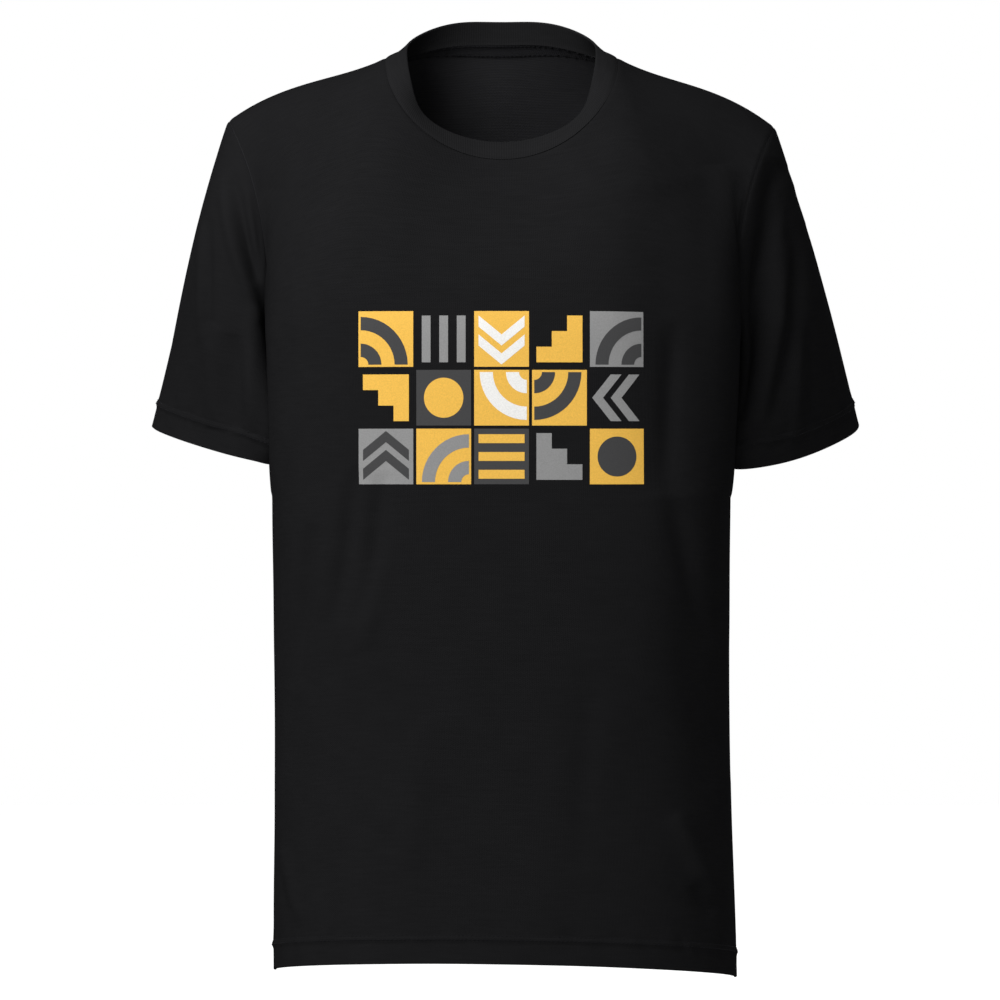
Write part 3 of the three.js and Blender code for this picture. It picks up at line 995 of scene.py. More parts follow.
class Finish:
    """What a piece is made of."""

    name: str

    def material(self) -> bpy.types.Material:
        """The finish's material, made once."""
        found = bpy.data.materials.get(self.name)
        return found or self.mixed(bpy.data.materials.new(self.name))

    def mixed(self, material: bpy.types.Material) -> bpy.types.Material:
        """Fills a new material with the finish's nodes.

        Args:
            material: The material.

        Returns:
            The same material.
        """
        material.use_nodes = True
        material.node_tree.nodes.clear()
        surface = self.surface(material.node_tree)
        add(material.node_tree, "ShaderNodeOutputMaterial", {"Surface": surface})
        return material

    def surface(self, tree: Tree) -> Socket:
        """Makes the shader."""
        raise NotImplementedError


# How often a pattern repeats, per metre.
FUZZ = 0.9 / MM  # the tangled hairs on yarn, a tuft to 1.1 mm
SPECKLE = 1.1 / MM  # the breaks in a film of ink, one to 0.9 mm
WEAR = 0.034 / MM  # patches faded by washing, one to 29 mm


class Weave(Enum):
    """How the yarn lies in a textile."""

    FACE = "single jersey from its right side, upright columns of Vs"
    PURL = "single jersey from its wrong side, rows of little arcs"
    RIB = "one-by-one rib, a ridge and a groove by turns"
    TWILL = "twill, slanting ribs"
    OVERLOCK = "overlocking, threads laid side by side over an edge"
    PLY = "sewing thread, plies twisted together"


@dataclass(frozen=True)
class Textile(Finish):
    """Matt cotton or spun thread: a relief of yarn, a fuzz of short hairs, and a slightly uneven black.

    Cotton fibres scatter light, so it has no gloss, and spun polyester has a little.

    Attributes:
        name: The material's name.
        weave: How its yarn lies.
        colour: Its colour.
        across: The width of a stitch or rib in millimetres.
        up: The height of a stitch in millimetres.
        relief: The height of the yarn in millimetres.
        gloss: The strength of its gloss.
    """

    name: str
    weave: Weave
    colour: str
    across: float
    up: float
    relief: float = 0.14
    gloss: float = 0.0

    def yarn(self, tree: Tree, x: Socket, y: Socket) -> Socket:
        """The height of the yarn, about -1 to 1, where x and y count stitches.

        It is a sine wave. In a V it runs along y and is shifted by the distance from the column's middle, and
        the V's legs are domed. In an arc it is shifted by a sine of x. In ribs and threads it runs along x,
        and leans as it climbs.

        Args:
            tree: The nodes to add to.
            x: Stitches across.
            y: Stitches up.

        Returns:
            The height's socket.
        """
        lean = {Weave.FACE: 1.8, Weave.PURL: 0.16, Weave.TWILL: 1.0, Weave.OVERLOCK: 0.2, Weave.PLY: 2.0}
        across, along = y, x
        if self.weave is Weave.FACE:
            across, along = add(tree, "ShaderNodeMath", {0: x, 1: 0.5}, operation="PINGPONG").outputs[0], y
        elif self.weave is Weave.PURL:
            turn = add(tree, "ShaderNodeMath", {0: x, 1: 2 * math.pi}, operation="MULTIPLY").outputs[0]
            across, along = add(tree, "ShaderNodeMath", {0: turn}, operation="SINE").outputs[0], y
        shift = {0: across, 1: lean.get(self.weave, 0.0), 2: along}
        shifted = add(tree, "ShaderNodeMath", shift, operation="MULTIPLY_ADD").outputs[0]
        turn = add(tree, "ShaderNodeMath", {0: shifted, 1: 2 * math.pi}, operation="MULTIPLY").outputs[0]
        wave = add(tree, "ShaderNodeMath", {0: turn}, operation="SINE").outputs[0]
        if self.weave is not Weave.FACE:
            return wave
        turn = add(tree, "ShaderNodeMath", {0: across, 1: 2 * math.pi}, operation="MULTIPLY").outputs[0]
        legs = add(tree, "ShaderNodeMath", {0: turn}, operation="SINE").outputs[0]
        return add(tree, "ShaderNodeMath", {0: wave, 1: 0.4, 2: legs}, operation="MULTIPLY_ADD").outputs[0]

    def shade(self, tree: Tree, place: Socket, spot: Socket, knots: Socket) -> Socket:
        """How much lighter or darker than its colour the cloth is.

        Wear fades it in patches. The yarn's tops are painted paler and its hollows darker, a painted shade
        that follows the yarn's height, with its fuzz as random tone. Thick places in the yarn are streaks,
        some
        20 mm long and one or two stitches high. The three shares are multiplied.

        Args:
            tree: The material's nodes.
            place: The place on the flat cloth, in metres.
            spot: The place in space.
            knots: The height of the yarn and its fuzz.

        Returns:
            The share of the colour, about 1.
        """
        stretched = {0: place, 1: (1 / (20 * MM), 1 / (1.8 * MM), 1)}
        run = add(tree, "ShaderNodeVectorMath", stretched, operation="MULTIPLY").outputs[0]
        slub = add(tree, "ShaderNodeTexNoise", {"Vector": run, "Scale": 1.0, "Detail": 2.0}).outputs[0]
        cloud = add(tree, "ShaderNodeTexNoise", {"Vector": spot, "Scale": WEAR, "Detail": 4.0}).outputs[0]
        # the second range is painted shade: darker in the yarn's hollows, paler on its tops, with the fuzz as
        # random tone
        ranges = (
            {0: cloud, 1: 0.3, 2: 0.7, 3: 0.96, 4: 1.04},
            {0: knots, 1: -0.6, 2: 1.6, 3: 0.9, 4: 1.1},
            {0: slub, 1: 0.3, 2: 0.7, 3: 0.94, 4: 1.06},
        )
        worn, fuzz_and_yarn_shade, streak = (add(tree, "ShaderNodeMapRange", span).outputs[0] for span in ranges)
        both = add(tree, "ShaderNodeMath", {0: worn, 1: fuzz_and_yarn_shade}, operation="MULTIPLY").outputs[0]
        return add(tree, "ShaderNodeMath", {0: both, 1: streak}, operation="MULTIPLY").outputs[0]

    def surface(self, tree: Tree) -> Socket:
        """The yarn and its fuzz as a bump, on an uneven colour that paints shade into the yarn's hollows.

        Args:
            tree: The material's nodes.

        Returns:
            The shader's socket.
        """
        place = add(tree, "ShaderNodeUVMap", uv_map="Cloth").outputs[0]
        scale = (1 / (self.across * MM), 1 / (self.up * MM), 1)
        knit = add(tree, "ShaderNodeVectorMath", {0: place, 1: scale}, operation="MULTIPLY").outputs[0]
        stitch = add(tree, "ShaderNodeSeparateXYZ", {0: knit}).outputs
        height = self.yarn(tree, stitch[0], stitch[1])
        spot = add(tree, "ShaderNodeTexCoord").outputs["Object"]
        fuzz = add(tree, "ShaderNodeTexNoise", {"Vector": spot, "Scale": FUZZ, "Detail": 3.0}).outputs[0]
        knots = add(tree, "ShaderNodeMath", {0: fuzz, 1: 1.1, 2: height}, operation="MULTIPLY_ADD").outputs[0]
        bump = add(tree, "ShaderNodeBump", {"Strength": 0.8, "Distance": self.relief * MM, "Height": knots})
        scaled = {0: linear(self.colour)[:3], "Scale": self.shade(tree, place, spot, knots)}
        tone = add(tree, "ShaderNodeVectorMath", scaled, operation="SCALE").outputs[0]
        rough = add(tree, "ShaderNodeMapRange", {0: fuzz, 3: 0.86, 4: 0.98}).outputs[0]
        links = {"Base Color": tone, "Roughness": rough, "Normal": bump.outputs[0]}
        shader = add(tree, "ShaderNodeBsdfPrincipled", links)
        shader.inputs["Specular IOR Level"].default_value = self.gloss
        return shader.outputs[0]


# Real single jersey has some 14 columns of stitches to 10 mm, too fine to show, so they are drawn at about a
# third of that, and the other textiles about as much coarser. Black cotton is a very dark, neutral grey.

# upright columns of Vs: a faint upright grain on a matt near-black
JERSEY = Textile("black cotton jersey, right side", Weave.FACE, "#1B1B1C", 2.0, 1.6)
# level rows of little arcs; paler as open loops are, and painted paler still as painted light inside the neck
REVERSE_PAINTED_PALE = Textile("black cotton jersey, wrong side", Weave.PURL, "#2F2F31", 2.2, 1.8, 0.02)
# a ridge and a groove by turns: fine stripes across the band
RIB = Textile("black cotton rib knit", Weave.RIB, "#1F1F20", 1.9, 1.6, 0.07)
# flat slanting ribs: plainer than the knit, and painted paler to offset the shade that falls on the neck tape
TWILL = Textile("black cotton twill tape, painted paler", Weave.TWILL, "#29292B", 1.6, 1.6, 0.08)
# twisted plies: each stitch a small round bar with a trace of gleam
THREAD = Textile("black spun polyester thread", Weave.PLY, "#1B1B1D", 0.9, 1.2, 0.08, 0.05)
# thick threads side by side over a raw edge: a coarse ladder with a soft gleam
OVERLOCKING = Textile("black overlocking thread", Weave.OVERLOCK, "#202022", 1.5, 3.0, 0.3, 0.15)


class Tint(Enum):
    """The inks."""

    AMBER = "#EFBB4E"
    GREY = "#8C8C8C"
    CHARCOAL = "#3A3A3B"
    WHITE = "#F2F1EE"


@dataclass(frozen=True)
class Ink(Finish):
    """Matt water-based screen ink: a thin film on the stitches, evenly coloured and slightly broken."""

    tint: Tint

    @property
    def name(self) -> str:
        """The material's name."""
        return f"{self.tint.name.lower()} screen ink, matt"

    def surface(self, tree: Tree) -> Socket:
        """The ink's colour, with a fine speckle where the yarn's hairs break it.

        Args:
            tree: The nodes to add to.

        Returns:
            The shader's socket.
        """
        spot = add(tree, "ShaderNodeTexCoord").outputs["Object"]
        breaks = {"Vector": spot, "Scale": SPECKLE, "Detail": 2.0}
        speckle = add(tree, "ShaderNodeTexNoise", breaks).outputs[0]
        worn = add(tree, "ShaderNodeMapRange", {0: speckle, 1: 0.3, 2: 0.7, 3: 0.9, 4: 1.06}).outputs[0]
        scaled = {0: linear(self.tint.value)[:3], "Scale": worn}
        tone = add(tree, "ShaderNodeVectorMath", scaled, operation="SCALE").outputs[0]
        bump = add(tree, "ShaderNodeBump", {"Strength": 0.5, "Distance": 0.08 * MM, "Height": speckle})
        shader = add(tree, "ShaderNodeBsdfPrincipled", {"Base Color": tone, "Normal": bump.outputs[0]})
        shader.inputs["Roughness"].default_value = 0.72
        shader.inputs["Specular IOR Level"].default_value = 0.3
        return shader.outputs[0]


# ---- The pieces of cloth ----


@dataclass(frozen=True)
class Panel:
    """The front or back panel, with its turned-up hem.

    Attributes:
        facing: Which panel it is.
        folds: Its folds.
        cut: The shirt's cut.
        stitch: The hem's stitching.
        seed: Which waves the cloth has.
        looseness: How high the waves are.
        arc: Its length across from the middle to a side.
        climb: Its length up the cloth for v from 0 to 1.
        row: The distance between the mesh's even rows.
        column: The distance between its even columns.
    """

    facing: Facing
    folds: tuple[Fold, ...]
    cut: Cut = CUT
    stitch: Coverstitch = Coverstitch()
    seed: int = 3
    looseness: float = 1.0
    arc: float = 238
    climb: float = 770
    row: float = 4
    column: float = 3.4

    @property
    def name(self) -> str:
        """Front or back."""
        return self.facing.name.lower()

    def off_neck(self, p: Array) -> Array:
        """About how far points lie outside the neck seam: the ellipse's value there over its steepness.

        Args:
            p: Points.

        Returns:
            The distances, negative inside.
        """
        x = p[..., 0] / self.cut.neck_half
        if self.facing is Facing.FRONT:
            other, reach = np.minimum(0, p[..., 2]) / self.cut.front_drop, self.cut.front_drop
        else:
            other, reach = p[..., 1] / self.cut.back_reach, self.cut.back_reach
        steepness = 2 * np.hypot(x / self.cut.neck_half, other / reach)
        return (x**2 + other**2 - 1) / np.maximum(steepness, 1e-6)

    def relief(self, p: Array, u: Array, v: Array) -> Array:
        """How far the cloth stands off its plain surface, from folds, swell, stitching and seams.

        The swell is highest at the hem, and the folds and the swell fade out at the sides.

        Args:
            p: Points of the plain surface.
            u: Their places across.
            v: Their places up.

        Returns:
            The heights.
        """
        height, along = v * self.cut.body_length, u * self.arc
        side = (1 - np.abs(u)) * self.arc
        total = sum(fold.relief(p) for fold in self.folds) * smooth(side, 0, 10)
        firm = 0.35  # the share of the swell that is left at the chest
        loose = self.looseness * (firm + (1 - firm) * smooth(height, 520, 60))
        waves = swell(along, height, self.seed, 70, 170)
        total = total + 0.75 * loose * waves * smooth(1 - np.abs(u), 0, 0.1)
        total = total + self.stitch.relief(height, along, self.seed + 1)
        total = total + SIDE_SEAM.relief(side) + ARMHOLE_ROLL.relief(side) * smooth(v, 0.6, 0.7)
        return total + SHOULDER_SEAM.relief((1 - v) * self.climb) + NECK_SEAM.relief(self.off_neck(p))

    def place(self, u: Array, v: Array, lift: Array = 0.0) -> tuple[Array, Array]:
        """Points of the panel and the directions outwards there.

        Args:
            u: Places across.
            v: Places up.
            lift: How far outside the cloth's middle they lie.

        Returns:
            The points and directions.
        """
        u, v = (np.asarray(a, float) for a in np.broadcast_arrays(u, v))

        def surface(a: Array, b: Array) -> Array:
            """The plain surface, at places kept on the panel."""
            return self.cut.panel_point(np.clip(a, -1, 1), np.clip(b, 0, 1), self.facing)

        p, out = upright(surface, u, v)
        return p + out * (self.relief(p, u, v) + lift)[..., None], out

    def rows(self) -> tuple[Array, Array]:
        """The rows of the mesh and their lifts: the hem, even rows, and crowded ones where the neck starts.

        Above its lowest point the rows follow the neckline, with their heights as the square of their number.

        Returns:
            The places up, and how far outside the middle of the cloth each row lies.
        """
        heights, lifts = turned_hem(self.cut)
        neck = self.cut.neck_row(self.facing)
        crowd = np.array([0, *CROWD])[::-1] / self.climb
        hem_top = heights[-1] / self.cut.body_length
        count = round((neck - hem_top) * self.climb / self.row)
        body = np.linspace(hem_top, neck - CROWDED / self.climb, count)[1:]
        count = round(math.sqrt((1 - neck) * self.climb) * 4.4)  # so many that the last ones aren't far apart
        above = mix(neck, 1, np.linspace(0, 1, count)[1:] ** 2)
        plain = np.unique(np.concatenate([body, neck - crowd, above, 1 - crowd[3:]]))
        return np.concatenate([heights / self.cut.body_length, plain]), np.pad(lifts, (0, len(plain)))

    def patch(self) -> Patch:
        """The panel's surface: two halves, each from the middle or the neckline to its side.

        Returns:
            The patch.
        """
        v, lift = self.rows()
        start = self.cut.row_start(v, self.facing)[:, None]
        i = close_to_ends(self.arc, self.column, True, True)
        halves = []
        for half in (-1, 1):
            run = i[::-1] if half < 0 else i
            u = half * mix(start, 1, run[None])
            rows = np.broadcast_to(v[:, None], u.shape)
            points, _ = self.place(u, rows, np.broadcast_to(lift[:, None], u.shape))
            side = np.where(lift[:, None] < TURNED_IN, -1.0, 1.0)  # inside, the cloth runs on past the fold
            up = side * rows * self.cut.body_length * MM
            halves.append(lattice(points, np.stack([u * self.arc * MM, up], axis=-1)))
        return joined(halves)

    def make(self, *finishes: Finish) -> Piece:
        """Makes the panel, which stands for the model's panel and hem.

        Args:
            finishes: What it is made of.

        Returns:
            The piece.
        """
        piece = make_piece(f"{self.name}_panel_cloth", self.patch(), finishes, self.cut.cloth)
        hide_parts(f"{self.name}_panel", f"{self.name}_hem")
        return piece

    def along_hem(self, height: float, lift: float, pitch: float) -> tuple[Array, Array]:
        """Evenly spaced points along the hem, and the directions outwards there.

        Args:
            height: Their height above the fold.
            lift: How far outside the cloth's middle they lie.
            pitch: The distance between points.

        Returns:
            The points and directions.
        """
        u = np.linspace(-0.997, 0.997, 1500)  # close together, and clear of the side seams
        v = np.full_like(u, height / self.cut.body_length)
        run = lengths(self.place(u, v, lift)[0])
        spaced = np.interp(np.arange(pitch / 2, run[-1], pitch), run, u)
        return self.place(spaced, np.full_like(spaced, height / self.cut.body_length), lift)

    def below_neck(self, q: Array, down: Array) -> tuple[Array, Array]:
        """Places on the panel a little way below its neck seam.

        Args:
            q: The place along the seam, from -1 to 1.
            down: The distance from it.

        Returns:
            The places across and up the panel.
        """
        seam = mix(self.cut.neck_row(self.facing), 1, q**2)
        turn = np.abs(q) * QUARTER
        u = self.cut.row_start(seam, self.facing) + down * np.sin(turn) / self.cut.shoulder_half
        return np.where(q < 0, -1, 1) * u, seam - down * np.cos(turn) / self.climb


@dataclass(frozen=True)
class Sleeve:
    """A sleeve with its turned-up cuff.

    Attributes:
        side: Which sleeve it is.
        hang: How it hangs.
        folds: The folds that show from the front.
        back_folds: The folds that show from behind.
        cut: The shirt's cut.
        stitch: The cuff's stitching.
        seed: Which waves the cloth has.
        round: Its length round.
        row: The distance between the mesh's even rows.
        columns: How many columns the mesh has.
        stand_off: How far it stands off the panels' edges at the armhole.
    """

    side: Side
    hang: Hang
    folds: tuple[Fold, ...]
    back_folds: tuple[Fold, ...]
    seed: int
    cut: Cut = CUT
    stitch: Coverstitch = Coverstitch()
    round: float = 366
    row: float = 3.6
    columns: int = 136
    stand_off: float = 0.7

    @property
    def name(self) -> str:
        """Left or right."""
        return self.side.name.lower()

    @property
    def length(self) -> float:
        """The sleeve's length, shoulder point to cuff."""
        return self.cut.cuff_down - self.cut.shoulder_drop

    def way_down(self, turn: Array, height: Array) -> tuple[Array, Array, Array]:
        """The way down the sleeve.

        Up to a little above the cuff's stitching a height is a true one. From there on heights are stretched
        evenly to end at the armhole, which is further from the cuff on the outside than in the armpit.

        Args:
            turn: Places round the sleeve.
            height: Heights above the cuff's fold, up to the sleeve's length.

        Returns:
            The share of the way from armhole to cuff, and the true distances from the cuff and the armhole.
        """
        start = self.cut.armhole_round(turn, self.side)
        reach = np.linalg.norm(self.cut.cuff_point(turn, self.side, self.hang) - start, axis=-1)
        plain = self.cut.hem_depth + 9  # past the cuff's own rows
        above = mix(plain, reach, (height - plain) / (self.length - plain))
        above = np.where(height < plain, height, above)
        return 1 - above / reach, above, reach - above

    def relief(self, p: Array, out: Array, turn: Array, height: Array, seam: Array) -> Array:
        """How far the cloth stands off its plain surface, from folds, swell, stitching and the armhole seam.

        Next to the body it is also drawn in along the armhole, except at the armpit.

        Args:
            p: Points of the plain surface.
            out: The directions outwards there.
            turn: Their places round the sleeve.
            height: Their distances from the cuff.
            seam: Their distances from the armhole.

        Returns:
            The heights.
        """
        front, back = smooth(-out[..., 1], -0.15, 0.25), smooth(out[..., 1], -0.15, 0.25)
        total = front * sum(fold.relief(p) for fold in self.folds)
        total = total + back * sum(fold.relief(p) for fold in self.back_folds)
        total = total * smooth(seam, 0, 9)
        firm = 0.3  # the share of the swell that is left at the armhole
        loose = firm + (1 - firm) * smooth(height, 200, 30)
        waves = swell(np.sin(turn) * 90, height + np.cos(turn) * 60, self.seed, 50, 120, 0.5)
        total = total + 0.8 * loose * waves * smooth(seam, 0, 60)
        total = total + self.stitch.relief(height, 180 * np.sin(turn / 2), self.seed + 1)
        inner = smooth(-np.cos(turn), -0.6, 0.6) * smooth(height, 10, 90)
        drawn_in = bell(seam - 9, 9) * inner * (1 - bell(turn - math.pi, 0.6))
        return total + SIDE_SEAM.relief(seam) - 2.2 * drawn_in

    def place(self, turn: Array, height: Array, lift: Array = 0.0) -> tuple[Array, Array]:
        """Points of the sleeve and the directions outwards there.

        Args:
            turn: Places round the sleeve.
            height: Heights above the cuff's fold, along the cloth.
            lift: How far outside the cloth's middle they lie.

        Returns:
            The points and directions.
        """
        turn, height = (np.asarray(a, float) for a in np.broadcast_arrays(turn, height))
        w, above, seam = self.way_down(turn, height)

        def surface(a: Array, b: Array) -> Array:
            """The plain surface, set off the panels' edges."""
            off = vectors(self.side.value * self.stand_off * bell(np.clip(b, 0, 1), 0.1), 0, 0)
            return self.cut.sleeve_point(a, np.clip(b, 0, 1), self.side, self.hang) + off

        p, out = upright(surface, turn, w)
        out = self.side.value * out
        return p + out * (self.relief(p, out, turn, above, seam) + lift)[..., None], out

    def patch(self) -> Patch:
        """The sleeve's surface, round the arm and from inside the cuff up to the armhole.

        Returns:
            The patch.
        """
        height, lift = turned_hem(self.cut)
        steps = close_to_ends(self.length - height[-1], self.row, False, True)[1:]
        height = np.concatenate([height, mix(height[-1], self.length, steps)])
        lift = np.pad(lift, (0, len(steps)))
        turns = np.linspace(0, CIRCLE, self.columns + 1)
        if self.side is Side.LEFT:
            turns = turns[::-1]
        turn, rows = np.broadcast_arrays(turns[None], height[:, None])
        points, _ = self.place(turn, rows, np.broadcast_to(lift[:, None], rows.shape))
        side = np.where(lift[:, None] < TURNED_IN, -1.0, 1.0)
        across = turn / CIRCLE * self.round * MM
        above = self.way_down(turn, rows)[1]
        return joined([lattice(points, np.stack([across, side * above * MM], axis=-1), closed=True)])

    def make(self, *finishes: Finish) -> Piece:
        """Makes the sleeve, which stands for the model's sleeve and cuff.

        Args:
            finishes: What it is made of.

        Returns:
            The piece.
        """
        piece = make_piece(f"{self.name}_sleeve_cloth", self.patch(), finishes, self.cut.cloth)
        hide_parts(f"{self.name}_sleeve", f"{self.name}_cuff")
        return piece

    def along_cuff(self, height: float, lift: float, pitch: float) -> tuple[Array, Array]:
        """Evenly spaced points round the cuff, and the directions outwards there.

        Args:
            height: Their height above the fold.
            lift: How far outside the cloth's middle they lie.
            pitch: The distance between points.

        Returns:
            The points and directions.
        """
        turn = np.linspace(0, CIRCLE, 900)
        rows = np.full_like(turn, height)
        run = lengths(self.place(turn, rows, lift)[0])
        spaced = np.interp(np.linspace(0, run[-1], round(run[-1] / pitch), endpoint=False), run, turn)
        return self.place(spaced, np.full_like(spaced, height), lift)


NECK_PLACES = 420  # round the neck seam, at which the rib and the allowance behind it are drawn


@dataclass(frozen=True)
class NeckRib:
    """The neck rib: a strip folded double, seamed round the neck and standing up towards it.

    Attributes:
        width: Its width, seam to fold.
        lean_front: The angle at which it rises above the horizontal at the centre front, in degrees.
        lean_side: The same at the high shoulder points.
        lean_back: The same at the centre back.
        bend: Half the distance between the middles of its two layers.
        dome: How far each layer swells out at its middle.
        foot: How far it reaches past the seam, over the panels' edges.
        drawn_in: How far its foot is drawn in by the seam.
        cut: The shirt's cut.
    """

    width: float = 17
    lean_front: float = 50
    lean_side: float = 22
    lean_back: float = 80
    bend: float = 0.7
    dome: float = 0.5
    foot: float = 1.4
    drawn_in: float = 0.8
    cut: Cut = CUT

    def seam(self, count: int) -> Array:
        """The neck seam, round from the wearer's left high shoulder point by the front, at even spacing.

        Args:
            count: The number of points.

        Returns:
            The points.
        """
        line = []
        for facing in Facing:
            neck = self.cut.neck_row(facing)
            rising = mix(neck, 1, np.linspace(0, 1, 140) ** 2)
            u = self.cut.row_start(rising, facing)
            line += [
                self.cut.panel_point(u[::-1], rising[::-1], facing),
                self.cut.panel_point(-u[1:-1], rising[1:-1], facing),
            ]
        line = np.concatenate(line + [line[0][:1]])
        run = lengths(line)
        places = np.linspace(0, run[-1], count, endpoint=False)
        return np.stack([np.interp(places, run, line[:, k]) for k in range(3)], axis=-1)

    def directions(self, seam: Array) -> tuple[Array, Array]:
        """The directions up the rib and out of it at each point of the seam.

        The way inwards is square to the seam's tangent, seen from above, and evened out by a running mean.

        Args:
            seam: The seam's points.

        Returns:
            The directions up and out.
        """
        tangent = np.roll(seam, -1, axis=0) - np.roll(seam, 1, axis=0)
        inwards = vectors(tangent[:, 1], -tangent[:, 0], 0)
        shares = {k: math.exp(-((k / 6.0) ** 2)) for k in range(-9, 10)}
        inwards = unit(sum(np.roll(unit(inwards), k, axis=0) * share for k, share in shares.items()))
        front = seam[:, 1] < 0
        round_it = np.where(front, -seam[:, 2] / self.cut.front_drop, seam[:, 1] / self.cut.back_reach)
        ends = np.where(front, self.lean_front, self.lean_back)
        lean = np.radians(mix(self.lean_side, ends, np.clip(round_it, 0, 1) ** 1.5))[:, None]
        up = np.array([0, 0, 1.0])
        return inwards * np.cos(lean) + up * np.sin(lean), up * np.cos(lean) - inwards * np.sin(lean)

    def profile(self) -> Array:
        """The strip's way across: up the outer layer, round the fold, and down the inner one.

        Each layer is slightly domed, as half a sine, and its foot is drawn in over the panels' edges.

        Returns:
            Its points: the distance up the rib, and out of it.
        """
        tip = self.width - self.bend
        flat = np.concatenate([[-self.foot, -self.foot / 2, 0.2, 1.3, 2.6], np.linspace(4, tip, 14)])
        swelling = self.dome * np.sin(math.pi * np.clip(flat / self.width, 0, 1))
        dome = swelling - self.drawn_in * bell(flat + self.foot, 1.6)
        turn = np.linspace(QUARTER, -QUARTER, 9)[1:-1]
        outer = np.stack([flat, self.bend + dome], axis=-1)
        fold = np.stack([tip + self.bend * np.cos(turn), self.bend * np.sin(turn)], axis=-1)
        inner = np.stack([flat[::-1], -self.bend + 0.4 * dome[::-1]], axis=-1)
        return np.concatenate([outer, fold, inner])

    def patch(self) -> Patch:
        """The profile carried round the seam.

        Returns:
            The patch.
        """
        seam = self.seam(NECK_PLACES)
        parts = (seam, *self.directions(seam))
        seam, along, out = (np.concatenate([a, a[:1]])[::-1] for a in parts)
        profile = self.profile()[:, None, :, None]
        points = seam + along * profile[:, :, 0] + out * profile[:, :, 1]
        across = np.broadcast_to(lengths(self.profile())[:, None], points.shape[:2])
        around = np.broadcast_to(lengths(seam)[None], points.shape[:2])
        return joined([lattice(points, np.stack([around, across], axis=-1) * MM, closed=True)])

    def make(self, *finishes: Finish) -> Piece:
        """Makes the rib, which stands for the model's.

        Args:
            finishes: What it is made of.

        Returns:
            The piece.
        """
        piece = make_piece("neck_rib_cloth", self.patch(), finishes, self.cut.cloth)
        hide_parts("neck_rib")
        return piece


@dataclass(frozen=True)
class Stitching:
    """Sewing thread where it shows on the cloth, a short bar for each stitch.

    Attributes:
        length: A stitch's length.
        pitch: The distance from one stitch to the next.
        radius: The thread's radius, about twice a real one's, so that it shows.
        dip: How far a stitch's ends sink into the cloth.
    """

    length: float = 2.6
    pitch: float = 3.4
    radius: float = 0.4
    dip: float = 0.45

    def patch(self, points: Array, out: Array) -> Patch:
        """A row of stitches.

        Each one is five rings of six corners round a line that dips at its ends as a fourth power, with two
        four-sided faces over each end.

        Args:
            points: The middle of each stitch.
            out: The direction out of the cloth there.

        Returns:
            The patch.
        """
        ahead = unit(np.gradient(points, axis=0))
        aside = np.cross(ahead, out)
        along = np.array([-1, -0.7, 0, 0.7, 1])[:, None]
        radius = self.radius * np.array([0.3, 0.85, 1, 0.85, 0.3])[:, None, None]
        turn = (np.arange(6) * math.pi / 3)[:, None]
        line = along * self.length / 2 * ahead[:, None] - self.dip * along**4 * out[:, None]
        round_it = aside[:, None, None] * np.cos(turn) + out[:, None, None] * np.sin(turn)
        corners = points[:, None, None] + line[:, :, None] + radius * round_it
        ring, corner = np.mgrid[0:4, 0:6].reshape(2, -1)
        low, after = ring * 6 + corner, ring * 6 + (corner + 1) % 6
        sides = np.stack([low, low + 6, after + 6, after], axis=-1)
        first = np.array([[0, 1, 2, 3], [0, 3, 4, 5]])
        one = np.concatenate([sides, first, first[:, ::-1] + 24])
        faces = (one[None] + 30 * np.arange(len(points))[:, None, None]).reshape(-1, 4)
        places = np.broadcast_arrays(along * self.length / 2, turn.T * self.radius)
        cloth = np.tile((np.stack(places, axis=-1) * MM).reshape(-1, 2), (len(points), 1))
        return Patch(corners.reshape(-1, 3), faces, cloth[faces])

    def make(self, name: str, rows: list[tuple[Array, Array]]) -> Piece:
        """Makes a piece from rows of stitches, each given by its points and the directions out there."""
        patch = joined([self.patch(*row) for row in rows], weld=False)
        return make_piece(name, patch, (THREAD,))


